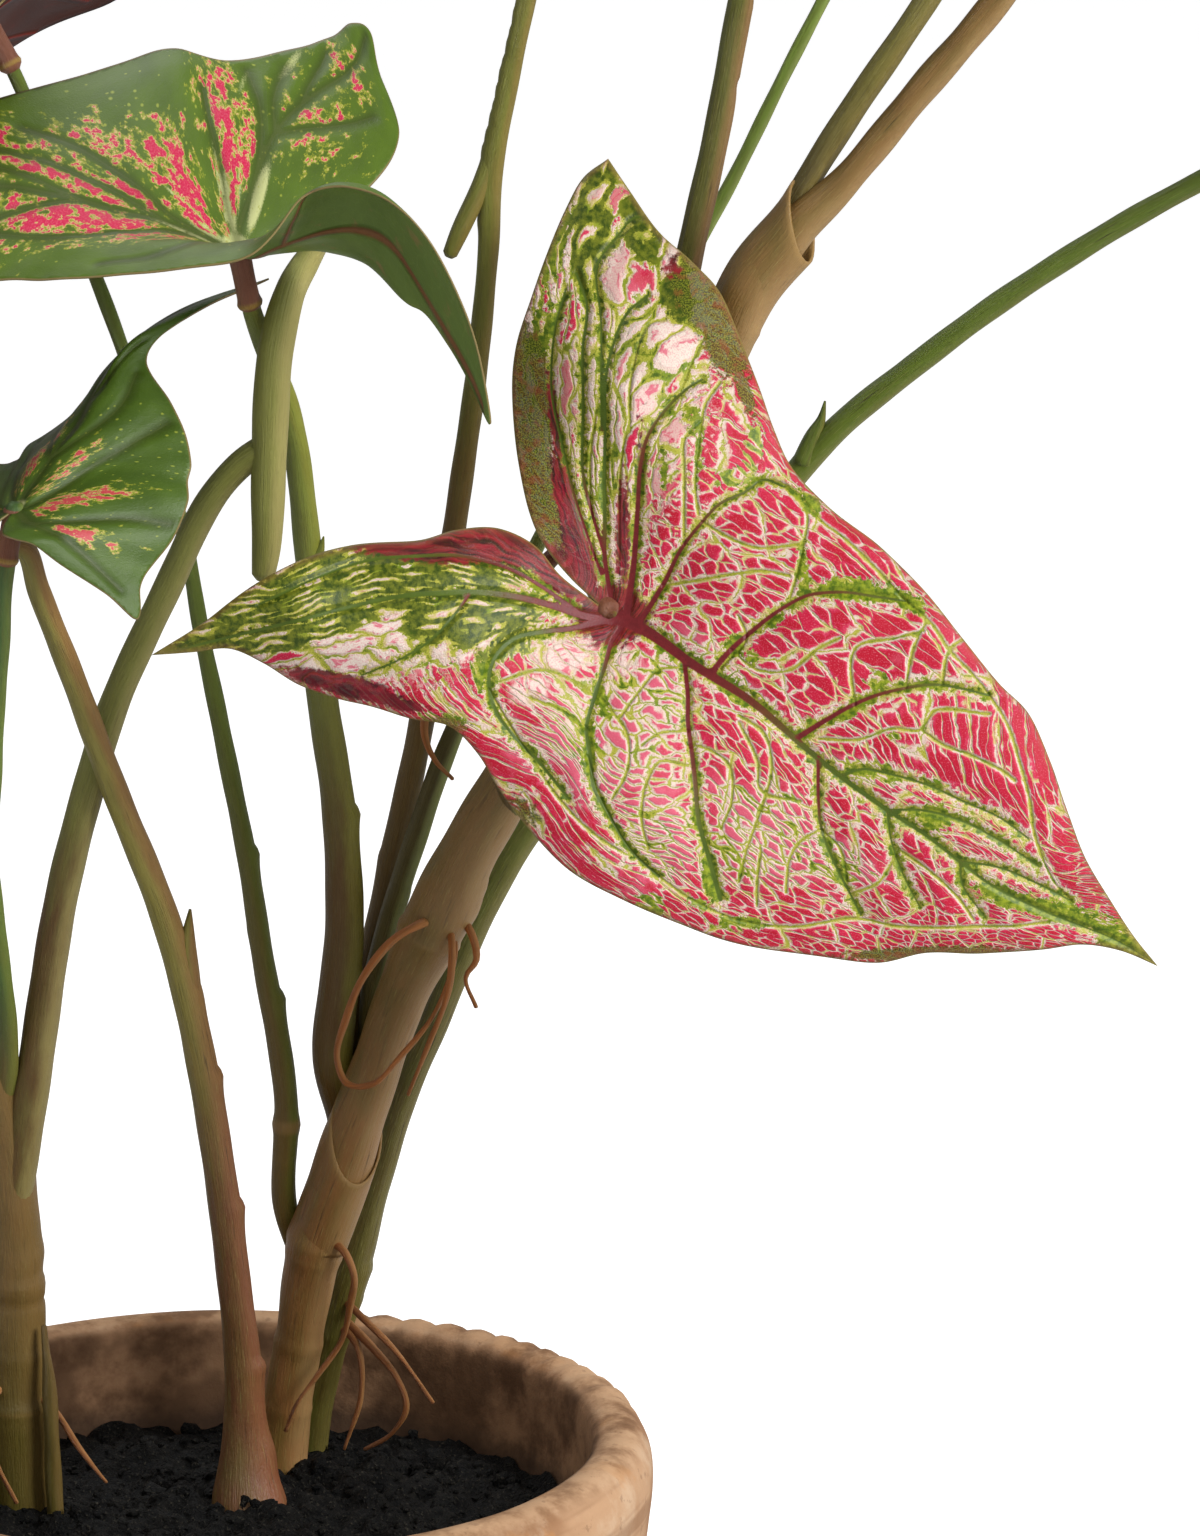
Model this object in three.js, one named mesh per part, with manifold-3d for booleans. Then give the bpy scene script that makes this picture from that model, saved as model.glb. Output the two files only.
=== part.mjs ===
// A caladium grown from two canes in a weathered terracotta bowl.
// Millimetres, +Z up. The origin is the centre of the bowl's flat foot, and -Y is the front.

import * as THREE from "three";
import { mergeGeometries, mergeVertices } from "three/addons/utils/BufferGeometryUtils.js";
import Module from "manifold-3d";

const wasm = await Module();
wasm.setup();

// Driving dimensions.
const CLEARANCE = 0.3;
const BOWL_HEIGHT = 123;
const BOWL_RADIUS = 125;
const MOUTH_RADIUS = 107.5;
const FOOT_RADIUS = 75;
const BOWL_FLOOR = 14;
const BOWL_SEGMENTS = 36;
const SOIL_LEVEL = 90;
const SOIL_CROWN = 3;
const LEAF_THICKNESS = 1;
const LEAF_RINGS = 3;
const EDGE_ROOM = 30;
const SOCKET_LENGTH = 16;
const SOCKET_RADIUS = 3.3;
const CANE_SIDES = 10;
const STEM_SIDES = 7;
const STEM_STEP = 24;
const ROOT_SIDES = 6;
const ROOT_STEP = 8;
const ROOT_THICK = 1.5;
const ROOT_THIN = 0.9;
const SMALLEST_CUT = 0.001;

const FINISHES = {
  terracotta: { color: 0xa58368, roughness: 0.9 },
  soil: { color: 0x17181a, roughness: 1 },
  cane: { color: 0x5a4632, roughness: 0.5 },
  petiole: { color: 0x5f6a34, roughness: 0.5 },
  socket: { color: 0x7a4a42, roughness: 0.45 },
  root: { color: 0xa65a36, roughness: 0.6 },
  pinkLeaf: { color: 0xd2406b, roughness: 0.4 },
  greenLeaf: { color: 0x4f7a2c, roughness: 0.4 },
};

// Solids.

function solidOf(geometry) {
  const bare = new THREE.BufferGeometry();
  bare.setAttribute("position", geometry.getAttribute("position"));
  bare.setIndex(geometry.index);
  const merged = mergeVertices(bare, 1e-3);
  const mesh = (triVerts) =>
    new wasm.Mesh({
      numProp: 3,
      vertProperties: new Float32Array(merged.attributes.position.array),
      triVerts,
    });
  const faces = new Uint32Array(merged.index.array);
  const solid = new wasm.Manifold(mesh(faces));
  return solid.volume() < 0 ? new wasm.Manifold(mesh(faces.reverse())) : solid;
}

function geometryOf(solid) {
  const { vertProperties, triVerts, numProp, numVert } = solid.getMesh();
  const positions = new Float32Array(numVert * 3);
  for (let i = 0; i < numVert; i++) {
    positions.set(vertProperties.subarray(i * numProp, i * numProp + 3), i * 3);
  }
  const geometry = new THREE.BufferGeometry();
  geometry.setAttribute("position", new THREE.BufferAttribute(positions, 3));
  geometry.setIndex(new THREE.BufferAttribute(triVerts, 1));
  geometry.computeVertexNormals();
  return geometry;
}

function largestOf(solid) {
  const bodies = solid.decompose();
  return bodies.reduce((best, body) => (body.volume() > best.volume() ? body : best));
}

// Turned shapes: a profile of [radius, height] points that starts and ends on the axis.
function turned(profile) {
  const points = profile.map(([radius, height]) => new THREE.Vector2(radius, height));
  const geometry = new THREE.LatheGeometry(points, BOWL_SEGMENTS);
  geometry.rotateX(Math.PI / 2);
  return solidOf(geometry);
}

const BOWL_INSIDE = [
  [MOUTH_RADIUS, 115],
  [107, 101],
  [105, 84],
  [99, 58],
  [86, 30],
  [68, BOWL_FLOOR + 2],
];

function bowlShape() {
  return turned([
    [0, 0],
    [FOOT_RADIUS, 0],
    [82, 4],
    [99, 25],
    [114, 55],
    [122, 82],
    [BOWL_RADIUS - 1, 96],
    [BOWL_RADIUS, 106],
    [BOWL_RADIUS - 0.5, 115],
    [BOWL_RADIUS - 3, 120.5],
    [118, BOWL_HEIGHT],
    [112, BOWL_HEIGHT - 0.5],
    [108.5, 120],
    ...BOWL_INSIDE,
    [0, BOWL_FLOOR],
  ]);
}

function soilShape() {
  const wall = BOWL_INSIDE.filter(([, height]) => height < SOIL_LEVEL).reverse();
  const gap = 2 * CLEARANCE;
  return turned([
    [0, BOWL_FLOOR + gap],
    ...wall.map(([radius, height]) => [radius - gap, height + gap / 2]),
    [105.4 - gap, SOIL_LEVEL - 2],
    [90, SOIL_LEVEL],
    [50, SOIL_LEVEL + 1],
    [0, SOIL_LEVEL + SOIL_CROWN],
  ]);
}

// Stems: a route of [x, y, z, radius] points, swept as a round tube that tapers between them.

function curveOf(route) {
  const points = route.map(([x, y, z]) => new THREE.Vector3(x, y, z));
  return new THREE.CatmullRomCurve3(points, false, "centripetal");
}

function radiusAt(route, curve, share) {
  const place = curve.getUtoTmapping(share) * (route.length - 1);
  const start = Math.min(Math.floor(place), route.length - 2);
  return THREE.MathUtils.lerp(route[start][3], route[start + 1][3], place - start);
}

function stemShape(route, grow, sides = STEM_SIDES, step = STEM_STEP) {
  const curve = curveOf(route);
  const steps = Math.max(route.length - 1, Math.round(curve.getLength() / step));
  const section = new THREE.Shape();
  for (let i = 0; i < sides; i++) {
    const angle = (2 * Math.PI * i) / sides;
    section[i ? "lineTo" : "moveTo"](Math.cos(angle), Math.sin(angle));
  }
  const geometry = new THREE.ExtrudeGeometry(section, {
    steps,
    bevelEnabled: false,
    extrudePath: curve,
  });
  const centres = curve.getSpacedPoints(steps);
  const position = geometry.attributes.position;
  const vertex = new THREE.Vector3();
  for (let i = 0; i < position.count; i++) {
    vertex.fromBufferAttribute(position, i);
    const ring = nearest(centres, vertex);
    const radius = radiusAt(route, curve, ring / steps) + grow;
    const reach = ring === 0 ? -grow : ring === steps ? grow : 0;
    vertex.sub(centres[ring]).multiplyScalar(radius).add(centres[ring]);
    vertex.addScaledVector(curve.getTangentAt(ring / steps), reach);
    position.setXYZ(i, vertex.x, vertex.y, vertex.z);
  }
  return solidOf(geometry);
}

function nearest(points, vertex) {
  let best = 0;
  for (let i = 1; i < points.length; i++) {
    if (points[i].distanceToSquared(vertex) < points[best].distanceToSquared(vertex)) best = i;
  }
  return best;
}

// A stem with the spurs and stubs that grow from it, as one body.
function branchedShape(routes, grow) {
  return routes
    .map((route) => stemShape(route, grow))
    .reduce((whole, branch) => whole.add(branch));
}

function rootShape(points, grow) {
  const last = points.length - 1;
  const route = points.map((point, i) => [
    ...point,
    THREE.MathUtils.lerp(ROOT_THICK, ROOT_THIN, i / last),
  ]);
  return stemShape(route, grow, ROOT_SIDES, ROOT_STEP);
}

// The sleeve on the last stretch of a petiole, where the blade sits.
function socketShape(route, grow) {
  const curve = curveOf(route);
  const share = SOCKET_LENGTH / curve.getLength();
  const sleeve = [1 - share, 1 - share / 2, 1].map((place) => [
    ...curve.getPointAt(place).toArray(),
    SOCKET_RADIUS,
  ]);
  return stemShape(sleeve, grow, STEM_SIDES, SOCKET_LENGTH / 2);
}

// Leaf blades: a flat outline about the point where the petiole joins, u across and v along
// the midrib to the tip, and a rule that puts each flat point in space.

// Half of an arrow-shaped blade with a midrib of 1, from the notch round a lobe to the tip.
const HALF_BLADE = [
  [0, -0.03],
  [0.06, -0.19],
  [0.12, -0.27],
  [0.2, -0.34],
  [0.3, -0.4],
  [0.42, -0.45],
  [0.53, -0.5],
  [0.55, -0.38],
  [0.53, -0.25],
  [0.48, -0.12],
  [0.4, 0.05],
  [0.35, 0.3],
  [0.28, 0.48],
  [0.22, 0.62],
  [0.13, 0.78],
  [0.04, 0.93],
  [0, 1],
];

function arrowOutline(length) {
  const left = HALF_BLADE.slice(1, -1).reverse();
  const whole = [...HALF_BLADE, ...left.map(([u, v]) => [-u, v])];
  return whole.map(([u, v]) => [u * length, v * length]);
}

// A blade that bends down evenly along its midrib, with its halves raised and its edge waved.
function bentPlacing({ at, heading, pitch, roll = 0, droop, length, fold = 0.18, wave = 0.1 }) {
  const start = THREE.MathUtils.degToRad(pitch);
  const bend = THREE.MathUtils.degToRad(droop) / length;
  const turn = new THREE.Euler(0, THREE.MathUtils.degToRad(roll), 0);
  const base = new THREE.Vector3(...at);
  return (u, v) => {
    const angle = start + bend * v;
    const side = (u / length) ** 2;
    const ripple = wave * length * side * Math.sin((9 * v) / length + heading);
    const lift = fold * Math.abs(u) - 0.35 * length * side + ripple;
    const local = new THREE.Vector3(
      u,
      (Math.sin(angle) - Math.sin(start)) / bend + lift * Math.sin(angle),
      (Math.cos(angle) - Math.cos(start)) / bend + lift * Math.cos(angle),
    );
    local.applyEuler(turn);
    local.applyAxisAngle(new THREE.Vector3(0, 0, 1), THREE.MathUtils.degToRad(heading - 90));
    return local.add(base);
  };
}

// A blade drawn smoothly through handles [u, v, x, y, z], as a thin plate bends.
function platePlacing(handles) {
  const scale = Math.max(...handles.map(([u, v]) => Math.hypot(u, v)));
  const knots = handles.map(([u, v]) => [u / scale, v / scale]);
  const pull = (a, b) => {
    const square = (a[0] - b[0]) ** 2 + (a[1] - b[1]) ** 2;
    return square > 0 ? square * Math.log(square) : 0;
  };
  const count = knots.length;
  const rows = knots.map((knot) => [...knots.map((other) => pull(knot, other)), 1, ...knot]);
  for (let side = 0; side < 3; side++) {
    rows.push([...knots.map((knot) => [1, ...knot][side]), 0, 0, 0]);
  }
  const targets = [...handles.map((handle) => handle.slice(2)), [0, 0, 0], [0, 0, 0], [0, 0, 0]];
  const weights = solved(rows, targets);
  return (u, v) => {
    const point = [u / scale, v / scale];
    const basis = [...knots.map((knot) => pull(point, knot)), 1, ...point];
    const sum = [0, 0, 0];
    for (let i = 0; i < count + 3; i++) {
      for (let axis = 0; axis < 3; axis++) sum[axis] += basis[i] * weights[i][axis];
    }
    return new THREE.Vector3(...sum);
  };
}

// The solution of rows * x = targets, by elimination with the largest pivot.
function solved(rows, targets) {
  const table = rows.map((row, i) => [...row, ...targets[i]]);
  const size = table.length;
  for (let i = 0; i < size; i++) {
    let pivot = i;
    for (let j = i + 1; j < size; j++) {
      if (Math.abs(table[j][i]) > Math.abs(table[pivot][i])) pivot = j;
    }
    [table[i], table[pivot]] = [table[pivot], table[i]];
    const lead = table[i][i];
    table[i] = table[i].map((value) => value / lead);
    for (let j = 0; j < size; j++) {
      const factor = table[j][i];
      if (j !== i) table[j] = table[j].map((value, k) => value - factor * table[i][k]);
    }
  }
  return table.map((row) => row.slice(size));
}

// A closed blade: two domes of the same facets, one for each face, that meet at the edge.
function bladeShape({ outline, place }, grow) {
  const columns = outline.length;
  const faces = [1, -1].map((side) => {
    const dome = new THREE.SphereGeometry(1, columns, LEAF_RINGS, 0, 2 * Math.PI, 0, Math.PI / 2);
    const position = dome.attributes.position;
    for (let i = 0; i < position.count; i++) {
      const share = Math.floor(i / (columns + 1)) / LEAF_RINGS;
      const reach = share * (1 + grow / EDGE_ROOM);
      const [u, v] = outline[(i % (columns + 1)) % columns].map((value) => value * reach);
      const middle = place(u, v);
      const across = place(u + 1, v).sub(middle);
      const along = place(u, v + 1).sub(middle);
      const half = (LEAF_THICKNESS / 2 + grow) * Math.sqrt(1 - share ** 4);
      middle.addScaledVector(across.cross(along).normalize(), side * half);
      position.setXYZ(i, middle.x, middle.y, middle.z);
    }
    if (side < 0) dome.index.array.reverse();
    return dome;
  });
  return solidOf(mergeGeometries(faces));
}

// The front blade, seen full face: its outline and depths are about its joint with the petiole.
const FRONT_JOINT = [112, -42, 372];
const FRONT_OUTLINE = [
  [-4, 3.2],
  [-12, 11],
  [-21, 23],
  [-26, 39],
  [-28, 55],
  [-27, 69],
  [-19, 92],
  [-8, 113],
  [-1, 118],
  [5, 110],
  [14, 99],
  [30, 85],
  [41, 61],
  [50, 40],
  [60, 30],
  [74, 20],
  [97, -4],
  [115, -24],
  [126, -51],
  [131, -64],
  [143, -84],
  [152, -96],
  [138, -92],
  [119, -90],
  [87, -91],
  [74, -94],
  [35, -88],
  [19, -82],
  [-12, -66],
  [-31, -45],
  [-45, -27],
  [-67, -22],
  [-86, -17],
  [-108, -12],
  [-127, -8],
  [-113, 1],
  [-86, 18],
  [-72, 21],
  [-43, 23],
  [-31, 21],
  [-18, 13],
];
const FRONT_DEPTHS = [
  [0, 0, -42],
  [52, -30, -62],
  [96, -64, -70],
  [152, -96, -62],
  [-3, 58, -28],
  [-1, 118, 30],
  [-28, 55, -8],
  [-19, 92, 8],
  [36, 73, -14],
  [24, 37, -40],
  [50, 40, -34],
  [86, 9, -52],
  [115, -24, -62],
  [131, -64, -66],
  [-3, -46, -72],
  [-31, -45, -66],
  [19, -82, -70],
  [74, -94, -66],
  [35, -21, -58],
  [57, 6, -52],
  [-43, 2, -62],
  [-86, 3, -66],
  [-127, -8, -60],
  [-43, 24, -44],
  [-72, 21, -50],
  [-86, -17, -58],
  [-56, -25, -64],
];

// The upper left blade: its tip points left, its back lobe stands up and its front lobe hangs.
const UPPER_LEFT_LENGTH = 165;
const UPPER_LEFT_HANDLES = [
  [0, 0, 9, -28, 471],
  [0, 46, -21, -34, 484],
  [0, 91, -56, -42, 492],
  [0, 132, -85, -50, 485],
  [0, 165, -114, -56, 462],
  [-79, -20, 28, -70, 492],
  [-87, -41, 45, -74, 495],
  [-91, -63, 65, -80, 479],
  [-89, -73, 75, -76, 455],
  [-87, -82, 79, -72, 432],
  [-69, 0, 16, -74, 478],
  [-63, 16, 1, -74, 474],
  [-59, 36, -18, -72, 472],
  [-46, 79, -54, -70, 470],
  [-25, 122, -84, -66, 467],
  [-45, -41, 37, -52, 480],
  [-66, -63, 56, -62, 475],
  [-20, -45, 36, -40, 473],
  [-33, -56, 46, -50, 471],
  [-50, -64, 59, -60, 458],
  [-69, -73, 68, -68, 455],
  [20, -45, 38, -6, 481],
  [33, -56, 48, 8, 489],
  [50, -64, 52, 22, 499],
  [69, -73, 47, 38, 511],
  [87, -82, 43, 52, 523],
  [87, -41, 32, 50, 522],
  [79, -20, 19, 42, 519],
  [69, 0, 2, 34, 517],
  [59, 25, -10, 30, 520],
  [54, 58, -38, 22, 514],
  [46, 79, -60, 14, 509],
  [25, 122, -89, -8, 497],
  [-36, 16, -3, -54, 478],
  [36, 8, 1, 2, 499],
];

// The middle left blade: folded along its midrib, with its tip turned away to the right.
const MIDDLE_LEFT_LENGTH = 125;
const MIDDLE_LEFT_HANDLES = [
  [0, 0, -50, -75, 408],
  [0, 30, -41, -60, 420],
  [0, 62, -31, -44, 433],
  [0, 90, -19, -28, 448],
  [0, 108, -3, -15, 455],
  [0, 125, 16, -6, 461],
  [45, 28, -3, -58, 417],
  [41, 44, -5, -52, 424],
  [35, 60, -10, -44, 433],
  [28, 78, -16, -34, 441],
  [15, 100, -9, -24, 450],
  [52, 0, -4, -66, 408],
  [60, -15, -8, -72, 398],
  [66, -31, -14, -76, 391],
  [69, -48, -16, -80, 386],
  [66, -62, -17, -84, 379],
  [52, -55, -25, -86, 386],
  [38, -49, -37, -90, 395],
  [25, -42, -44, -92, 401],
  [12, -30, -52, -90, 403],
  [-45, 28, -50, -25, 417],
  [-52, 0, -55, -34, 413],
  [-41, 44, -44, -18, 420],
  [-35, 60, -35, -12, 427],
  [-19, 92, -20, -10, 444],
  [-66, -31, -74, -34, 411],
  [-66, -62, -91, -40, 398],
  [-25, -42, -63, -70, 401],
  [25, 12, -27, -62, 415],
];

const frontHandles = FRONT_DEPTHS.map(([u, v, y]) => [
  u,
  v,
  FRONT_JOINT[0] + u,
  y,
  FRONT_JOINT[2] + v,
]);

const POSED_BLADES = {
  front: { outline: FRONT_OUTLINE, place: platePlacing(frontHandles) },
  upper_left: {
    outline: arrowOutline(UPPER_LEFT_LENGTH),
    place: platePlacing(UPPER_LEFT_HANDLES),
  },
  middle_left: {
    outline: arrowOutline(MIDDLE_LEFT_LENGTH),
    place: platePlacing(MIDDLE_LEFT_HANDLES),
  },
};

// The other blades: heading is the compass turn of the tip from +X towards +Y, in degrees.
const BENT_BLADES = {
  corner_left: { at: [-67, 47, 528], heading: 170, pitch: 45, roll: 14, droop: 24, length: 128 },
  low_left: { at: [-150, -110, 486], heading: 205, pitch: 34, droop: 45, length: 150 },
  outer_left: { at: [-190, 25, 495], heading: 172, pitch: 30, droop: 50, length: 150 },
  back_left: { at: [-150, 112, 440], heading: 135, pitch: 30, droop: 45, length: 130 },
  top_back: { at: [99, 97, 684], heading: 128, pitch: 28, droop: 48, length: 145 },
  top_front: { at: [152, 18, 722], heading: 245, pitch: 30, droop: 42, length: 150 },
  top_slim: { at: [223, 79, 690], heading: 78, pitch: 26, droop: 50, length: 135 },
  top_fork: { at: [268, 100, 628], heading: 62, pitch: 32, droop: 45, length: 140 },
  top_right: { at: [332, 6, 651], heading: -22, pitch: 26, droop: 48, length: 150 },
  right: { at: [392, 0, 530], heading: -10, pitch: 40, droop: 35, length: 130 },
};

const PINK_BLADES = ["front", "top_front", "top_right", "low_left", "back_left"];

// The canes, from their buried ends up.
const CANES = {
  cane_left: [
    [-62, 20, 62, 9],
    [-62, 22, 92, 9.2],
    [-63, 22, 141, 8.8],
    [-63, 20, 172, 8.4],
    [-65, 15, 207, 7.6],
    [-69, 9, 239, 6.6],
    [-72, 4, 270, 5.6],
  ],
  cane_right: [
    [12, 60, 62, 8],
    [14, 58, 100, 7.6],
    [19, 54, 134, 7.2],
    [25, 50, 164, 8.4],
    [34, 44, 193, 8.6],
    [42, 40, 216, 7.6],
    [50, 36, 241, 7.6],
    [62, 30, 268, 9.6],
    [71, 26, 289, 8.6],
    [100, 18, 338, 8],
    [123, 14, 382, 7.4],
    [140, 12, 429, 7.2],
    [150, 10, 454, 8.2],
    [163, 10, 471, 6.4],
    [177, 11, 485, 4.6],
    [207, 14, 520, 4.3],
    [244, 16, 565, 3.9],
    [280, 16, 605, 3.4],
    [310, 12, 634, 3],
    [332, 6, 651, 2.8],
  ],
};

// Each petiole's route, from the cane or the soil to its blade's joint, and the spurs on it.
const PETIOLES = {
  front: [
    [
      [83, 20, 302, 3],
      [80, 4, 322, 3],
      [86, -12, 358, 2.8],
      [92, -16, 378, 2.6],
      [98, -20, 385, 2.4],
      [105, -28, 381, 2.3],
      [112, -42, 372, 2.2],
    ],
  ],
  upper_left: [
    [
      [33, 50, 201, 5],
      [30, 46, 220, 6],
      [34, 40, 261, 5.8],
      [33, 32, 299, 5],
      [29, 22, 334, 4.6],
      [26, 8, 378, 4],
      [22, -8, 421, 3.4],
      [15, -20, 445, 2.9],
      [12, -26, 456, 2.7],
      [9, -28, 471, 2.7],
    ],
    [
      [26, 8, 378, 1.6],
      [31, 5, 384, 1.4],
      [33, 4, 389, 0.8],
    ],
  ],
  middle_left: [
    [
      [-65, 14, 211, 3.4],
      [-62, 2, 238, 3.2],
      [-63, -18, 275, 3],
      [-63, -34, 303, 2.9],
      [-60, -50, 332, 2.8],
      [-56, -66, 367, 2.7],
      [-54, -74, 388, 2.9],
      [-50, -75, 408, 2.8],
    ],
  ],
  corner_left: [
    [
      [20, 56, 153, 3],
      [15, 52, 175, 3.6],
      [16, 48, 207, 3.6],
      [10, 42, 252, 3.3],
      [5, 36, 289, 2.9],
      [-1, 33, 323, 2.7],
      [-6, 32, 350, 2.4],
      [-12, 34, 384, 2.2],
      [-29, 40, 435, 2.1],
      [-46, 44, 480, 2.1],
      [-59, 46, 513, 2],
      [-67, 47, 528, 2],
    ],
  ],
  low_left: [
    [
      [9, 14, 66, 9],
      [5, 22, 92, 8.6],
      [4, 24, 116, 6.2],
      [3, 24, 141, 5.2],
      [-1, 20, 182, 4.8],
      [-6, 14, 223, 4.6],
      [-15, 4, 270, 4.2],
      [-27, -8, 308, 3.8],
      [-39, -24, 349, 3.4],
      [-47, -40, 378, 3.1],
      [-51, -47, 392, 2.9],
      [-64, -56, 395, 2.8],
      [-80, -66, 398, 2.7],
      [-96, -78, 413, 2.6],
      [-122, -97, 452, 2.4],
      [-150, -110, 486, 2.4],
    ],
    [
      [-15, 4, 262, 2.4],
      [-12, 2, 267, 2],
      [-11, 1, 275, 0.7],
    ],
  ],
  outer_left: [
    [
      [-72, 6, 262, 4],
      [-82, 0, 300, 3.6],
      [-100, -2, 360, 3.2],
      [-126, 4, 420, 2.8],
      [-160, 15, 472, 2.5],
      [-190, 25, 495, 2.4],
    ],
  ],
  back_left: [
    [
      [-67, 18, 206, 3.6],
      [-79, 28, 256, 3.4],
      [-95, 46, 316, 3],
      [-115, 72, 376, 2.7],
      [-140, 98, 424, 2.4],
      [-150, 112, 440, 2.4],
    ],
  ],
  top_back: [
    [
      [36, 56, 202, 3.4],
      [35, 54, 227, 4],
      [42, 52, 252, 4.2],
      [48, 50, 280, 4],
      [56, 48, 318, 3.8],
      [62, 46, 353, 3.6],
      [68, 45, 388, 3.4],
      [74, 44, 432, 3.1],
      [77, 43, 462, 3],
      [78, 43, 486, 3.3],
      [82, 43, 505, 2.9],
      [88, 44, 533, 2.6],
      [96, 52, 567, 2.4],
      [102, 66, 610, 2.3],
      [103, 84, 654, 2.2],
      [99, 97, 684, 2.2],
    ],
    [
      [66, 40, 461, 2.2],
      [69, 40, 468, 2.6],
      [75, 42, 481, 2.8],
      [78, 43, 489, 2.6],
    ],
  ],
  top_front: [
    [
      [102, 22, 334, 3.6],
      [109, 26, 351, 4],
      [121, 30, 397, 4.1],
      [135, 34, 463, 4],
      [143, 36, 500, 3.8],
      [149, 38, 534, 3.6],
      [156, 36, 578, 3.2],
      [160, 31, 632, 2.8],
      [158, 25, 685, 2.5],
      [152, 18, 722, 2.4],
    ],
  ],
  top_slim: [
    [
      [40, 50, 219, 3],
      [42, 46, 241, 3.4],
      [50, 42, 273, 3.4],
      [56, 42, 291, 3.3],
      [66, 44, 319, 3],
      [92, 50, 377, 2.3],
      [121, 54, 431, 2.1],
      [147, 56, 480, 2],
      [172, 58, 530, 1.9],
      [194, 62, 572, 1.9],
      [212, 68, 622, 1.8],
      [222, 76, 665, 1.8],
      [223, 79, 690, 1.8],
    ],
  ],
  top_fork: [
    [
      [158, 12, 468, 3.2],
      [166, 14, 483, 3.6],
      [180, 18, 505, 3.7],
      [201, 24, 535, 3.4],
      [222, 38, 566, 3.2],
      [244, 64, 598, 2.9],
      [258, 86, 618, 2.6],
      [268, 100, 628, 2.4],
    ],
  ],
  right: [
    [
      [18, 76, 62, 6],
      [21, 76, 93, 5.4],
      [27, 74, 123, 5.2],
      [34, 72, 151, 6.4],
      [41, 70, 175, 5],
      [49, 68, 202, 5],
      [58, 66, 224, 5],
      [70, 64, 254, 5],
      [85, 62, 283, 4.9],
      [103, 60, 309, 4.8],
      [130, 56, 345, 4.7],
      [153, 52, 378, 4.7],
      [176, 48, 407, 4.5],
      [201, 44, 429, 3.6],
      [241, 38, 459, 3.4],
      [280, 32, 483, 3.2],
      [321, 24, 506, 2.9],
      [358, 12, 524, 2.6],
      [392, 0, 530, 2.4],
    ],
    [
      [174, 48, 412, 2],
      [174, 47, 418, 1.6],
      [174, 46, 422, 0.7],
    ],
  ],
};

// A leafless petiole from the left cane, joined into the side of an old swollen sheath.
const SHEATHED_PETIOLE = [
  [
    [-64, 18, 176, 5.2],
    [-56, 10, 221, 5.2],
    [-46, 2, 279, 4.8],
    [-38, -3, 310, 4.6],
    [-29, -8, 339, 4.3],
    [-13, -17, 374, 4.1],
    [0, -26, 401, 4],
    [9, -30, 412, 3.9],
    [17, -32, 418, 3.8],
  ],
  [
    [15, -32, 381, 3.2],
    [16, -32, 390, 4.2],
    [17, -32, 416, 5],
    [19, -31, 444, 5],
    [23, -28, 460, 4.4],
    [27, -20, 467, 3.8],
    [30, -8, 470, 2.8],
    [31, 6, 472, 1.4],
  ],
];

const ROOTS = {
  node_loop: [
    [62, 32, 266],
    [57, 20, 268],
    [49, 17, 264],
    [40, 17, 252],
    [35, 20, 239],
    [32, 24, 227],
    [35, 20, 220],
    [43, 16, 221],
    [51, 16, 229],
    [60, 18, 240],
    [65, 21, 251],
    [67, 24, 260],
    [65, 32, 266],
  ],
  node_fork: [
    [64, 32, 267],
    [66, 20, 262],
    [65, 16, 249],
    [59, 18, 232],
    [53, 22, 216],
  ],
  node_short: [
    [65, 34, 268],
    [71, 24, 265],
    [73, 21, 257],
    [70, 20, 252],
    [73, 24, 242],
  ],
  upper: [
    [59, 46, 332],
    [58, 37, 320],
    [61, 36, 313],
    [66, 38, 307],
  ],
  low_wrap: [
    [27, 48, 165],
    [33, 40, 163],
    [36, 38, 156],
    [35, 40, 147],
    [32, 44, 134],
    [25, 43, 124],
    [19, 42, 116],
    [15, 44, 106],
  ],
  fan_long: [
    [32, 70, 139],
    [38, 60, 136],
    [48, 55, 127],
    [59, 50, 113],
  ],
  fan_loop: [
    [31, 72, 133],
    [40, 62, 127],
    [48, 56, 119],
    [51, 54, 110],
    [46, 56, 101],
    [38, 60, 95],
  ],
  fan_short: [
    [29, 72, 132],
    [36, 64, 126],
    [37, 60, 112],
    [32, 60, 95],
  ],
  left_long: [
    [-61, 22, 127],
    [-52, 16, 122],
    [-44, 10, 112],
    [-36, 8, 102],
  ],
  left_outer: [
    [-65, 20, 130],
    [-71, 8, 124],
    [-68, 4, 110],
    [-62, 4, 97],
  ],
};

// The pieces. Each one keeps its clearance from those made before it, so a petiole stops at
// its cane and its socket, and the soil is open round every stem.
const caladium = new THREE.Group();
const made = [];

function near(a, b) {
  return [0, 1, 2].every((axis) => a.min[axis] < b.max[axis] && b.min[axis] < a.max[axis]);
}

function addPiece(name, finish, shape) {
  let solid = shape(0);
  for (const { grown } of made) {
    if (!near(solid.boundingBox(), grown.boundingBox())) continue;
    if (solid.intersect(grown).volume() < SMALLEST_CUT) continue;
    solid = largestOf(solid.subtract(grown));
  }
  made.push({ grown: shape(CLEARANCE).add(solid) });
  const material = new THREE.MeshStandardMaterial({ ...FINISHES[finish], metalness: 0 });
  const mesh = new THREE.Mesh(geometryOf(solid), material);
  mesh.name = name;
  caladium.add(mesh);
}

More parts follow.
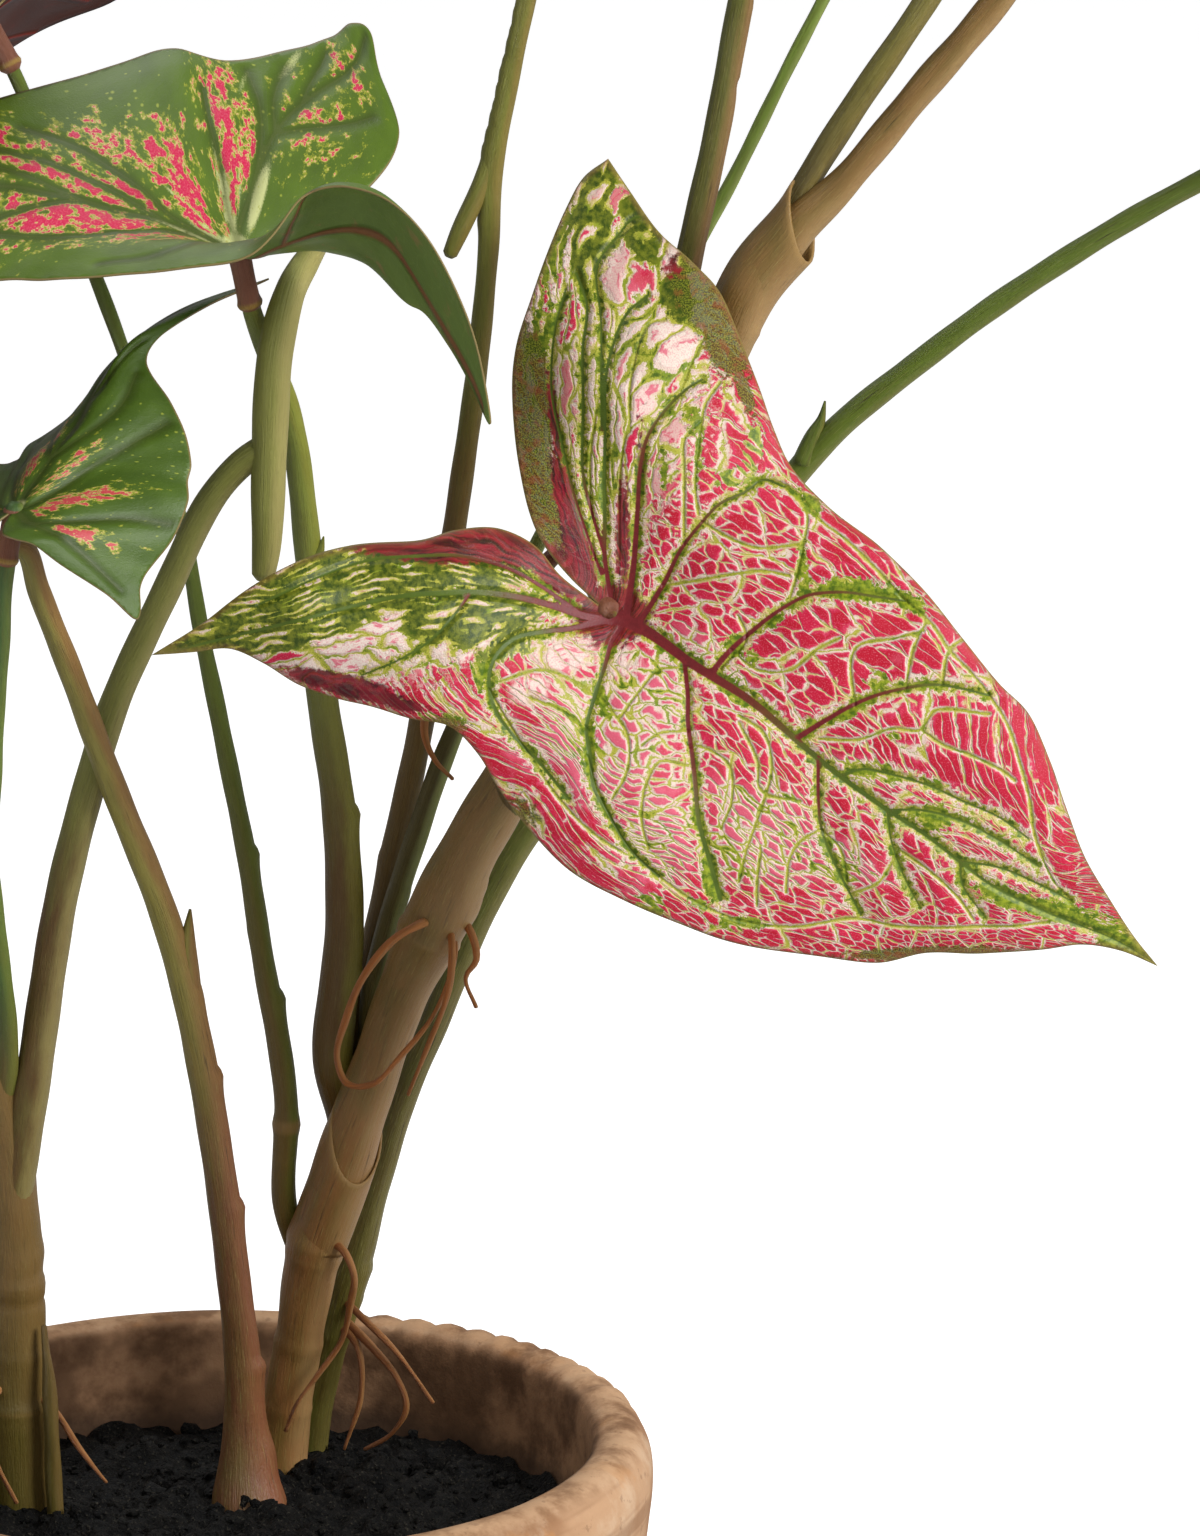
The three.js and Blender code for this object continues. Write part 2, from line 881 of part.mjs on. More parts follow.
const blades = { ...POSED_BLADES };
for (const [name, blade] of Object.entries(BENT_BLADES)) {
  blades[name] = { outline: arrowOutline(blade.length), place: bentPlacing(blade) };
}
for (const [name, blade] of Object.entries(blades)) {
  const finish = PINK_BLADES.includes(name) ? "pinkLeaf" : "greenLeaf";
  addPiece(`leaf_${name}`, finish, (grow) => bladeShape(blade, grow));
  const carrier = PETIOLES[name] ? PETIOLES[name][0] : CANES.cane_right;
  addPiece(`socket_${name}`, "socket", (grow) => socketShape(carrier, grow));
}
for (const [name, route] of Object.entries(CANES)) {
  addPiece(name, "cane", (grow) => stemShape(route, grow, CANE_SIDES));
}
for (const [name, routes] of Object.entries(PETIOLES)) {
  addPiece(`petiole_${name}`, "petiole", (grow) => branchedShape(routes, grow));
}
addPiece("petiole_sheathed", "petiole", (grow) => branchedShape(SHEATHED_PETIOLE, grow));
for (const [name, points] of Object.entries(ROOTS)) {
  addPiece(`root_${name}`, "root", (grow) => rootShape(points, grow));
}
addPiece("bowl", "terracotta", bowlShape);
addPiece("soil", "soil", soilShape);

export default caladium;
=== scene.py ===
"""A caladium grown from two canes in a weathered terracotta bowl, in metres."""

import logging
import math
import operator
import random
from dataclasses import dataclass, field
from enum import Enum
from typing import Callable, Sequence

import bmesh
import bpy
import numpy as np
from mathutils import Matrix, Vector, noise
from mathutils.geometry import delaunay_2d_cdt


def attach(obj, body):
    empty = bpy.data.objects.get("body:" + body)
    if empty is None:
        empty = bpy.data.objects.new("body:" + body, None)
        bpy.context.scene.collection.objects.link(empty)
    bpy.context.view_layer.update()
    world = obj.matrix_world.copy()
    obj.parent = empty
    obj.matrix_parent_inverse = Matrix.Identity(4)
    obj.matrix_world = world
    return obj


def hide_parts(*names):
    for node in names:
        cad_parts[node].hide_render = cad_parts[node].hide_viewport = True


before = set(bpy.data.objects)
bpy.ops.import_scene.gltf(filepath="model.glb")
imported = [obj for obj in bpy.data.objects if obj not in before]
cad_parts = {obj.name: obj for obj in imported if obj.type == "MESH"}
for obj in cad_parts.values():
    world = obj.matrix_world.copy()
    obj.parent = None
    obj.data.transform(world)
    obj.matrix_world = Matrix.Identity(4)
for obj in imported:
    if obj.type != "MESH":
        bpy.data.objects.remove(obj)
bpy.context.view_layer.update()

LOG = logging.getLogger("caladium")
MM = 0.001
UV_SPAN = 400.0
BODY = "root"

Colour = tuple[float, float, float, float]
Flat = tuple[float, float]
Route = Sequence[Sequence[float]]
Placing = Callable[[np.ndarray], np.ndarray]


def srgb(red: int, green: int, blue: int) -> Colour:
    """A display colour as the linear colour that a shader takes."""
    parts = [value / 255.0 for value in (red, green, blue)]
    linear = [p / 12.92 if p <= 0.04045 else ((p + 0.055) / 1.055) ** 2.4 for p in parts]
    return (*linear, 1.0)


def rows(text: str) -> tuple[tuple[float, ...], ...]:
    """A table of numbers, with a comma between its rows."""
    return tuple(tuple(map(float, row.split())) for row in text.split(","))


# Shader trees


class Value:
    """What a node puts out, on which sums are done as on a number."""

    def __init__(self, graph: "Graph", socket: bpy.types.NodeSocket) -> None:
        """Holds an output socket of a tree."""
        self.graph, self.socket = graph, socket

    def __add__(self, other: "Value | float") -> "Value":
        """This plus another."""
        return self.graph.math("ADD", self, other)

    def __radd__(self, other: float) -> "Value":
        """A number plus this."""
        return self.graph.math("ADD", other, self)

    def __sub__(self, other: "Value | float") -> "Value":
        """This less another."""
        return self.graph.math("SUBTRACT", self, other)

    def __rsub__(self, other: float) -> "Value":
        """A number less this."""
        return self.graph.math("SUBTRACT", other, self)

    def __mul__(self, other: "Value | float") -> "Value":
        """This times another."""
        return self.graph.math("MULTIPLY", self, other)

    def __truediv__(self, other: "Value | float") -> "Value":
        """This over another."""
        return self.graph.math("DIVIDE", self, other)


class Graph:
    """Adds and links the nodes of one shader tree."""

    def __init__(self, tree: bpy.types.NodeTree) -> None:
        """Starts from a tree.

        Args:
            tree: The node tree that the nodes go in.
        """
        self.tree = tree

    def node(self, kind: str, **settings: object) -> bpy.types.Node:
        """Adds a node.

        Args:
            kind: The node's type name.
            settings: Its properties.

        Returns:
            The new node.
        """
        made = self.tree.nodes.new(kind)
        for name, value in settings.items():
            setattr(made, name, value)
        return made

    def put(self, socket: bpy.types.NodeSocket, value: object) -> None:
        """Links a socket to another, or sets its own value."""
        if isinstance(value, Value):
            self.tree.links.new(value.socket, socket)
        else:
            socket.default_value = value

    def made(self, output: int | str, inputs: dict, kind: str, **settings: object) -> Value:
        """What a new node puts out.

        Args:
            output: The output's number or name.
            inputs: The inputs that are set or linked, in order, by number or name.
            kind: The node's type name.
            settings: Its properties.

        Returns:
            The output.
        """
        node = self.node(kind, **settings)
        for key, value in inputs.items():
            self.put(node.inputs[key], value)
        return Value(self, node.outputs[output])

    def math(self, operation: str, first: object, second: object = 0.0) -> Value:
        """The result of one sum."""
        return self.made(0, {0: first, 1: second}, "ShaderNodeMath", operation=operation)

    def step(self, value: object, low: object, high: object) -> Value:
        """A smooth step from 0 at low to 1 at high."""
        inputs = {"Value": value, "From Min": low, "From Max": high}
        return self.made("Result", inputs, "ShaderNodeMapRange", interpolation_type="SMOOTHSTEP")

    def blend(self, share: object, first: object, second: object) -> Value:
        """The first number where share is 0 and the second where it is 1."""
        return self.made(0, {0: share, 2: first, 3: second}, "ShaderNodeMix", data_type="FLOAT")

    def mix(self, share: object, first: object, second: object) -> Value:
        """The first colour where share is 0 and the second where it is 1."""
        return self.made(2, {0: share, 6: first, 7: second}, "ShaderNodeMix", data_type="RGBA")

    def noise(self, place: object, scale: float, detail: float = 2.0, rough: float = 0.5) -> Value:
        """A noise value about 0.5 at a place."""
        inputs = {"Vector": place, "Scale": scale, "Detail": detail, "Roughness": rough}
        return self.made("Fac", inputs, "ShaderNodeTexNoise")

    def cells(self, place: object, scale: float = 1.0, feature: str = "DISTANCE_TO_EDGE",
              output: str = "Distance") -> Value:
        """A flat cell pattern's distance to the nearest cell edge, or to the cell's middle."""
        inputs = {"Vector": place, "Scale": scale}
        settings = {"voronoi_dimensions": "2D", "feature": feature}
        return self.made(output, inputs, "ShaderNodeTexVoronoi", **settings)

    def cell_shade(self, place: object, scale: float = 1.0) -> Value:
        """A random number for each cell of the same pattern."""
        return self.split(self.cells(place, scale, "F1", "Color"))[0]

    def vector(self, x: object, y: object, z: object = 0.0) -> Value:
        """A vector of three numbers."""
        return self.made(0, {0: x, 1: y, 2: z}, "ShaderNodeCombineXYZ")

    def split(self, place: object) -> list[Value]:
        """The three parts of a vector."""
        made = self.node("ShaderNodeSeparateXYZ")
        self.put(made.inputs[0], place)
        return [Value(self, part) for part in made.outputs]

    def attribute(self, name: str) -> Value:
        """A number that a mesh holds at each point."""
        return self.made("Fac", {}, "ShaderNodeAttribute", attribute_name=name)

    def surface_place(self) -> Value:
        """The place in the object's own frame, in metres."""
        return self.made("Object", {}, "ShaderNodeTexCoord")

    def map_place(self) -> Value:
        """The place on the piece's UV map."""
        return self.made("UV", {}, "ShaderNodeUVMap", uv_map="UVMap")

    def flat_place(self) -> Value:
        """The place on a flat blade, in mm."""
        scale = self.node("ShaderNodeVectorMath", operation="SCALE")
        self.put(scale.inputs[0], self.map_place())
        self.put(scale.inputs["Scale"], UV_SPAN)
        return Value(self, scale.outputs[0])


COLOUR = "NodeSocketColor"
NUMBER = "NodeSocketFloat"
GROUPS: dict[str, bpy.types.NodeTree] = {}


def shared_group(name: str, inputs: dict[str, object],
                 fill: Callable[[Graph, dict], dict]) -> bpy.types.NodeTree:
    """A shader group with named inputs, and Color, Height and Rough outputs, built once.

    Args:
        name: The group's name.
        inputs: The starting value of each input, a colour or a number.
        fill: Builds the inside from the inputs and returns the outputs by name.

    Returns:
        The group's tree.
    """
    if name in GROUPS:
        return GROUPS[name]
    tree = GROUPS[name] = bpy.data.node_groups.new(name, "ShaderNodeTree")
    for title, value in inputs.items():
        kind = NUMBER if isinstance(value, float) else COLOUR
        tree.interface.new_socket(title, in_out="INPUT", socket_type=kind).default_value = value
    for title, kind in (("Color", COLOUR), ("Height", NUMBER), ("Rough", NUMBER)):
        tree.interface.new_socket(title, in_out="OUTPUT", socket_type=kind)
    graph = Graph(tree)
    start = graph.node("NodeGroupInput")
    end = graph.node("NodeGroupOutput")
    results = fill(graph, {title: Value(graph, start.outputs[title]) for title in inputs})
    for title, value in results.items():
        graph.put(end.inputs[title], value)
    return tree


def dressed(name: str, group: str, fill: Callable[[Graph, dict], dict], values: dict,
            relief: float, shine: float) -> bpy.types.Material:
    """A material whose colour, roughness and relief come from one shared group.

    Args:
        name: The material's name.
        group: The name of the group that draws the surface.
        fill: Builds the group.
        values: The group's inputs.
        relief: The depth that a height of 1 stands for, in metres.
        shine: The specular level.

    Returns:
        The material.
    """
    if name in bpy.data.materials:
        return bpy.data.materials[name]
    material = bpy.data.materials.new(name)
    material.use_nodes = True
    graph = Graph(material.node_tree)
    shader = material.node_tree.nodes["Principled BSDF"]
    pattern = graph.node("ShaderNodeGroup", node_tree=shared_group(group, values, fill))
    for title, value in values.items():
        pattern.inputs[title].default_value = value
    bump = graph.node("ShaderNodeBump")
    bump.inputs["Strength"].default_value = 1.0
    bump.inputs["Distance"].default_value = relief
    for source, output, target, title in (
        (pattern, "Height", bump, "Height"), (pattern, "Color", shader, "Base Color"),
        (pattern, "Rough", shader, "Roughness"), (bump, "Normal", shader, "Normal"),
    ):
        material.node_tree.links.new(source.outputs[output], target.inputs[title])
    shader.inputs["Specular IOR Level"].default_value = shine
    return material


def inputs_of(finish: object, *left_out: str) -> dict[str, object]:
    """A finish's colours and numbers by name, as the inputs of its group."""
    return {key: value for key, value in vars(finish).items() if key not in ("name", *left_out)}


# Finishes


class Tint(Enum):
    """The areas of colour that a blade's points carry, as attribute names."""

    LOBE = "lobe"
    WINE = "tint_wine"
    OLIVE = "tint_olive"
    GREEN = "tint_green"
    LEAFGREEN = "tint_leafgreen"
    WHITE = "tint_white"
    # Pale areas; on the upper left blade they also hold two ovals of painted sheen
    PALE = "tint_pale"
    DENSE = "tint_dense"
    BLOTCH = "tint_blotch"
    SPECK = "tint_speck"


def masked(graph: Graph, tint: Tint, ragged: Value, spread: float = 0.5) -> Value:
    """A mask from an area of colour, with its edge broken up by a noise value about 0.5."""
    moved = (ragged - 0.5) * spread
    total = graph.attribute(tint.value) + moved
    return graph.step(total, 0.38, 0.62)


def fill_pink(graph: Graph, inputs: dict) -> dict:
    """The upper face of a pink blade: rows of pink cells in a pale net between green veins.

    Every vein and every line of the net gives a level that rises with the distance from it. The
    lowest level sets the colour: green to 1, lime to 1.4, white to 2.2, then pink.
    """
    mix, step, noise, layer = graph.mix, graph.step, graph.noise, graph.attribute
    flat = graph.flat_place()
    gap = layer("vein_gap")
    half = layer("vein_half")
    fine = layer("fine_gap")
    edge = layer("edge_gap")
    coarse_noise = noise(flat, 0.16, 3.0, 0.55)
    mid_noise = noise(flat, 0.55, 3.0, 0.6)
    small_noise = noise(flat, 2.4, 2.0, 0.6)
    across = layer("across")
    along = layer("along")
    for scale, reach in ((0.13, 5.0), (0.6, 0.7)):
        sway = noise(flat, scale, 1.0) - 0.5
        across = across + sway * reach
        sway = noise(flat, scale * 1.3, 1.0, 0.4) - 0.5
        along = along + sway * (reach * 0.8)
    lobe = step(layer(Tint.LOBE.value) + mid_noise, 0.9, 1.1)
    pale = step(layer(Tint.PALE.value) + coarse_noise, 0.7, 1.1)
    dense = masked(graph, Tint.DENSE, coarse_noise)
    ground_green = masked(graph, Tint.GREEN, mid_noise, 0.6)
    plain = masked(graph, Tint.LEAFGREEN, noise(flat, 0.5, 4.0, 0.7), 1.7)
    white = masked(graph, Tint.WHITE, mid_noise, 0.4)
    wine = masked(graph, Tint.WINE, mid_noise, 0.9)
    olive = masked(graph, Tint.OLIVE, mid_noise, 1.2)

    def fan(width: float, length: float) -> Value:
        """A place in the fan of veins, in cells of a given size in mm."""
        return graph.vector(across * (1 / width), along * (1 / length))

    def rise(distance: Value, start: object, slope: object) -> Value:
        """The level at a distance from a line."""
        return distance * slope + start

    small, large, bars = fan(6.2, 3.0), fan(9.5, 4.4), fan(3.2, 15.0)
    net = graph.blend(dense, graph.cells(small), graph.cells(large))
    net = graph.blend(lobe, net, graph.cells(bars))
    shade = graph.blend(dense, graph.cell_shade(small), graph.cell_shade(large))
    shade = graph.blend(lobe, shade, graph.cell_shade(bars))
    green = graph.math("MAXIMUM", ground_green, lobe * 0.32)
    slope = graph.blend(dense, graph.blend(pale, 12.0, 7.5), 19.0)
    slope = graph.blend(green, slope, 7.2)
    start = graph.blend(dense, graph.blend(pale, 1.5, 0.95), 1.75)
    start = graph.blend(green, start, -0.9)
    level = rise(net, start, slope)
    branch = graph.blend(lobe, graph.cells(fan(20.0, 11.0)), 1.0)
    level = graph.math("MINIMUM", level, rise(branch, graph.blend(coarse_noise, 0.3, 1.9), 26.0))
    level = graph.math("MINIMUM", level, rise(fine, graph.blend(coarse_noise, 0.1, 1.3), 2.0))
    bank = gap - half
    moss = step(coarse_noise, 0.42, 0.58)
    ragged = (mid_noise - 0.5) * 4.5
    beside = 1.0 - moss * 0.8 + ragged
    level = graph.math("MINIMUM", level, rise(bank, beside, 0.9)) - plain * 2.2
    jitter = (small_noise - 0.5) * 1.2 + (mid_noise - 0.5) * 1.6
    level = level + jitter
    missing = pale * 0.2 - shade
    level = level - step(missing, 0.0, 0.06)

    pink = mix(step(level, 2.5, 3.9), srgb(204, 46, 84), srgb(176, 4, 38))
    pink = mix(step(shade, 0.3, 1.0) * 0.5, pink, srgb(200, 30, 72))
    pink = mix(pale * 0.55, pink, srgb(214, 110, 132))
    freckle = step(small_noise, 0.5, 0.72) * 0.4
    pink = mix(freckle, pink, srgb(222, 132, 148))
    pearl = mix(step(small_noise, 0.45, 0.7), srgb(226, 212, 198), srgb(216, 160, 160))
    rosy = noise(fan(1.1, 4.5), 1.0, 3.0, 0.6)
    pearl = mix(step(rosy, 0.52, 0.62) * 0.8, pearl, srgb(206, 70, 104))
    veiled = lobe * step(shade, 0.85, 0.5)
    inside = mix(graph.math("MAXIMUM", white * 0.9, veiled), pink, pearl)
    cream = mix(mid_noise, srgb(230, 218, 204), srgb(208, 170, 152))
    gold = step(noise(flat, 0.28, 3.0, 0.6), 0.46, 0.6)
    gold = gold * (0.8 - pale)
    cream = mix(gold, cream, srgb(196, 180, 96))
    bright = mix(small_noise, srgb(130, 136, 12), srgb(196, 188, 84))
    lime = mix(step(coarse_noise, 0.45, 0.75), bright, srgb(98, 126, 16))
    deep = mix(step(mid_noise, 0.35, 0.65), srgb(52, 70, 12), srgb(108, 116, 30))
    leafy = mix(step(mid_noise, 0.35, 0.65), srgb(72, 98, 10), srgb(140, 152, 34))
    deep = mix(green, leafy, deep)
    shaded = mix(step(level, 1.0, 0.35), lime, deep)
    colour = mix(step(level, 1.3, 1.55), shaded, cream)
    colour = mix(step(level, 2.0, 2.7), colour, inside)

    # The olive areas: the blade's own mottled olive; on the upper lobe's left margin, where the
    # lobe turns away, its darkness is partly painted shade
    dusk = mix(step(small_noise, 0.4, 0.62), srgb(34, 46, 8), srgb(118, 124, 34))
    warm = step(noise(flat, 0.3, 3.0, 0.6), 0.5, 0.64)
    dusk = mix(warm * 0.6, dusk, srgb(122, 62, 34))
    colour = mix(olive * 0.9, colour, dusk)
    silk = noise(fan(1.3, 11.0), 1.0, 3.0)
    silk = mix(step(silk, 0.3, 0.72), srgb(46, 4, 10), srgb(146, 26, 42))
    colour = mix(wine * 0.95, colour, silk)
    red = layer("vein_red")
    green_rib = mix(coarse_noise, srgb(44, 66, 12), srgb(96, 114, 36))
    rib = mix(red, green_rib, mix(mid_noise, srgb(72, 14, 18), srgb(128, 36, 40)))
    core = step(bank + small_noise * 0.4, 0.4, 0.0)
    colour = mix(core, colour, rib)
    flank = 1.0 - step(edge, 0.4, 2.2)
    colour = mix(flank * 0.3, colour, srgb(150, 96, 72))
    lip = 1.0 - step(edge, 0.15, 0.55)
    colour = mix(lip * 0.75, colour, srgb(130, 116, 62))

    sunk = step(bank, -0.3, 1.4) * 0.6
    smooth = 0.3 - graph.math("MAXIMUM", wine, olive) * 0.26
    swell = step(level, 1.0, 3.4) * smooth
    groove = step(fine, 0.0, 0.8) * 0.3
    height = sunk + swell + groove + small_noise * 0.09
    rough = graph.blend(step(level, 1.0, 3.0), 0.4, 0.5)
    return {"Color": colour, "Height": height, "Rough": rough}


def fill_green(graph: Graph, inputs: dict) -> dict:
    """The upper face of a green blade: pink blotches with white and yellow rims, and specks."""
    mix, step, noise, layer = graph.mix, graph.step, graph.noise, graph.attribute
    flat = graph.flat_place()
    gap = layer("vein_gap")
    half = layer("vein_half")
    edge = layer("edge_gap")
    middle = (UV_SPAN / 2, UV_SPAN / 2, 0.0)
    spot = graph.made(0, {0: flat, 1: middle}, "ShaderNodeVectorMath", operation="SUBTRACT")
    u, v, _ = graph.split(spot)
    angle = graph.math("ARCTAN2", u, v)
    radius = graph.made("Value", {0: spot}, "ShaderNodeVectorMath", operation="LENGTH")
    fan = graph.vector(angle * 9.0, radius * 0.11, inputs["seed"])
    coarse_noise = noise(flat, 0.07, 3.0, 0.5)
    small_noise = noise(flat, 1.6, 3.0, 0.6)
    drift = noise(fan, 1.3, 4.0, 0.62)
    finer = noise(flat, 0.28, 4.0, 0.72)
    level = drift * 0.55 + finer * 0.45
    bank = gap - half
    spots = layer(Tint.BLOTCH.value)
    hold = 0.72 - spots * 0.285 + step(bank, 2.4, 0.2) * 0.14
    over = level - hold
    deep = mix(coarse_noise, inputs["deep"], inputs["fresh"])
    colour = mix(small_noise * 0.35, deep, inputs["fresh"])
    # Pale streaks that fan out from the joint; on the upper left blade this also lays two ovals of
    # painted sheen on its right half
    pale = masked(graph, Tint.PALE, small_noise, 0.3)
    colour = mix(pale * 0.75, colour, srgb(214, 216, 150))
    colour = mix(step(over, -0.08, -0.03) * 0.85, colour, srgb(148, 152, 44))
    colour = mix(step(over, -0.026, -0.01) * 0.8, colour, srgb(214, 190, 128))
    core = mix(step(small_noise, 0.4, 0.8), srgb(190, 14, 66), srgb(208, 92, 112))
    core = mix(inputs["faded"], core, srgb(178, 92, 66))
    colour = mix(step(over, -0.010, 0.012), colour, core)
    dots = graph.cells(graph.vector(u, v), 0.42, "F1")
    chance = graph.cell_shade(graph.vector(u, v), 0.42)
    few = 1.0 - layer(Tint.SPECK.value) * 0.4
    speck = step(chance, few, 1.05) * 0.5
    dot = step(dots + finer * 0.2, speck, speck * 0.4)
    colour = mix(dot * 0.7, colour, srgb(158, 168, 60))
    hollow = step(bank + small_noise * 1.6, 4.6, 0.2)
    colour = mix(hollow * 0.6, colour, inputs["rib"])
    rib = step(gap / half, 1.4, 0.4)
    colour = mix(rib * 0.2, colour, srgb(96, 104, 52))
    lip = 1.0 - step(edge, 0.2, 0.8)
    colour = mix(lip * 0.6, colour, srgb(150, 118, 84))
    cross = noise(graph.vector(angle * 40.0, radius), 0.6, 2.0)
    height = step(bank, -0.5, 4.5) * 0.5 + small_noise * 0.1 + cross * 0.1
    return {"Color": colour, "Height": height, "Rough": 0.42 + small_noise * 0.14}


def fill_underside(graph: Graph, inputs: dict) -> dict:
    """The lower face of a blade: a duller ground with raised ribs."""
    mix, step, noise, layer = graph.mix, graph.step, graph.noise, graph.attribute
    flat = graph.flat_place()
    bank = layer("vein_gap") - layer("vein_half")
    edge = layer("edge_gap")
    broad = noise(flat, 0.05, 3.0, 0.55)
    small = noise(flat, 1.3, 3.0, 0.6)
    net = graph.cells(flat, 0.28)
    colour = mix(broad, inputs["dark"], inputs["light"])
    colour = mix(step(net, 0.06, 0.0) * 0.3, colour, inputs["light"])
    stain = step(noise(flat, 0.12, 4.0, 0.65), 0.58, 0.70)
    colour = mix(stain * inputs["stains"], colour, inputs["stain"])
    colour = mix(small * 0.2, colour, inputs["light"])
    rib = 1.0 - step(bank, 0.0, 1.1)
    colour = mix(rib * 0.8, colour, inputs["rib"])
    lip = 1.0 - step(edge, 0.2, 1.0)
    colour = mix(lip * 0.6, colour, inputs["edge"])
    height = 1.0 - step(bank, -0.4, 1.8) * 0.9 + small * 0.1
    return {"Color": colour, "Height": height, "Rough": 0.42 + small * 0.14}


def fill_stem(graph: Graph, inputs: dict) -> dict:
    """A stem's skin: a colour that changes with height, long fibres, a lighter flank and scars; the
    flank is partly painted light on the lamp side.
    """
    mix, step, noise, layer = graph.mix, graph.step, graph.noise, graph.attribute
    u, v, _ = graph.split(graph.map_place())
    turn = u * (2 * math.pi)
    around_x = graph.math("COSINE", turn)
    around_y = graph.math("SINE", turn)
    rise = v * 1000.0
    fibre_place = graph.vector(around_x * 5.0, around_y * 5.0, rise * 0.035)
    patch_place = graph.vector(around_x * 1.2, around_y * 1.2, rise * 0.05)
    fibre = noise(fibre_place, 1.6, 4.0, 0.62)
    hair = noise(fibre_place, 5.0, 3.0, 0.6)
    patch = noise(patch_place, 1.0, 3.0, 0.6)
    grain = noise(graph.surface_place(), 900.0, 2.0, 0.6)
    _, _, height_up = graph.split(graph.surface_place())
    moved = height_up + patch * 0.05 - 0.025
    share = step(moved, inputs["start"], inputs["end"])
    colour = mix(share, inputs["low"], inputs["high"])
    mottled = step(patch, 0.35, 0.75) * inputs["mottle"]
    colour = mix(mottled, colour, inputs["patch"])
    # The flank: a lighter tint on the side that flank_side picks, +X for most stems, where the key
    # lamp shines; partly the stem's own colour and partly painted light
    side = layer("side") * inputs["flank_side"] + (patch - 0.5) * 0.8
    flank = step(side, -0.1, 0.85) * inputs["flank_amount"]
    colour = mix(flank, colour, inputs["flank"])
    dark = step(fibre, 0.42, 0.25) * inputs["streak"]
    colour = mix(dark, colour, inputs["seam"])
    light = step(hair, 0.56, 0.78) * inputs["streak"]
    colour = mix(light * 0.6, colour, inputs["fibre"])
    scar = layer("scar")
    colour = mix(step(scar, 0.25, 0.9) * 0.75, colour, inputs["scar"])
    height = fibre * 0.5 + hair * 0.4 + grain * 0.15
    return {"Color": colour, "Height": height, "Rough": inputs["gloss"] + hair * 0.18}


def fill_clay(graph: Graph, inputs: dict) -> dict:
    """Weathered clay: brown stains, pale bloom, painted shade inside, with fine grains and pits."""
    mix, step, noise = graph.mix, graph.step, graph.noise
    place = graph.surface_place()
    x, y, z = graph.split(place)
    reach = graph.math("SQRT", x * x + y * y)
    broad = noise(place, 16.0, 4.0, 0.62)
    cloud = noise(place, 42.0, 5.0, 0.66)
    fine = noise(place, 260.0, 3.0, 0.65)
    grain = noise(place, 1200.0, 2.0, 0.6)
    ring = noise(graph.vector(x * 4.0, y * 4.0, z * 60.0), 2.0, 3.0, 0.6)
    colour = mix(step(broad, 0.4, 0.6), srgb(152, 112, 80), srgb(184, 146, 112))
    colour = mix(step(cloud, 0.46, 0.64) * 0.45, colour, srgb(208, 182, 154))
    colour = mix(step(ring, 0.48, 0.62) * 0.5, colour, srgb(126, 88, 58))
    amber = step(noise(place, 55.0, 3.0, 0.6), 0.58, 0.68)
    colour = mix(amber * 0.45, colour, srgb(188, 132, 78))
    # The inside of the bowl is painted darker and mottled: painted shade for the hollow and the
    # stems' shadows
    inner = step(reach, 0.1105, 0.1075) * step(z, 0.055, 0.065)
    wall = mix(step(cloud, 0.35, 0.65), srgb(96, 68, 46), srgb(160, 122, 90))
    wall = mix(step(broad, 0.46, 0.58) * 0.65, wall, srgb(76, 52, 34))
    colour = mix(inner, colour, wall)
    lip = step(z, 0.1165, 0.122) * step(reach, 0.1075, 0.112)
    worn = mix(step(cloud, 0.38, 0.6), srgb(112, 80, 54), srgb(186, 148, 112))
    colour = mix(lip * 0.75, colour, worn)
    # A darker band low on the inner wall, near the soil: painted shade
    low_wall_shade = step(z + cloud * 0.012, 0.106, 0.096)
    colour = mix(low_wall_shade * inner * 0.7, colour, srgb(58, 44, 34))
    colour = mix(step(fine, 0.62, 0.72) * 0.35, colour, srgb(98, 70, 50))
    height = cloud * 0.5 + fine * 0.35 + grain * 0.12
    return {"Color": colour, "Height": height, "Rough": 0.78 + fine * 0.18}


def fill_soil(graph: Graph, inputs: dict) -> dict:
    """Charcoal-dark potting mix with a few greyer crumbs."""
    mix, step, noise = graph.mix, graph.step, graph.noise
    place = graph.surface_place()
    clod = noise(place, 140.0, 4.0, 0.65)
    fine = noise(place, 900.0, 3.0, 0.7)
    crumb = noise(place, 340.0, 3.0, 0.7)
    colour = mix(step(clod, 0.4, 0.65), srgb(1, 1, 1), srgb(17, 15, 12))
    colour = mix(step(fine, 0.56, 0.7) * 0.55, colour, srgb(84, 79, 68))
    height = clod * 0.4 + fine * 0.45 + crumb * 0.7
    return {"Color": colour, "Height": height, "Rough": 0.45 + fine * 0.4}


def fill_floor(graph: Graph, inputs: dict) -> dict:
    """A plain pale floor."""
    soft = graph.noise(graph.surface_place(), 2.0, 2.0, 0.5)
    return {
        "Color": graph.mix(soft, srgb(206, 206, 206), srgb(214, 214, 214)),
        "Height": soft,
        "Rough": 0.9 + soft * 0.05,
    }


@dataclass(frozen=True)
class PinkBlade:
    """The upper face of a pink blade."""

    name: str = "pink_blade"

    def material(self) -> bpy.types.Material:
        """Builds the material."""
        return dressed(self.name, "pink_cells", fill_pink, {}, 0.0012, 0.24)


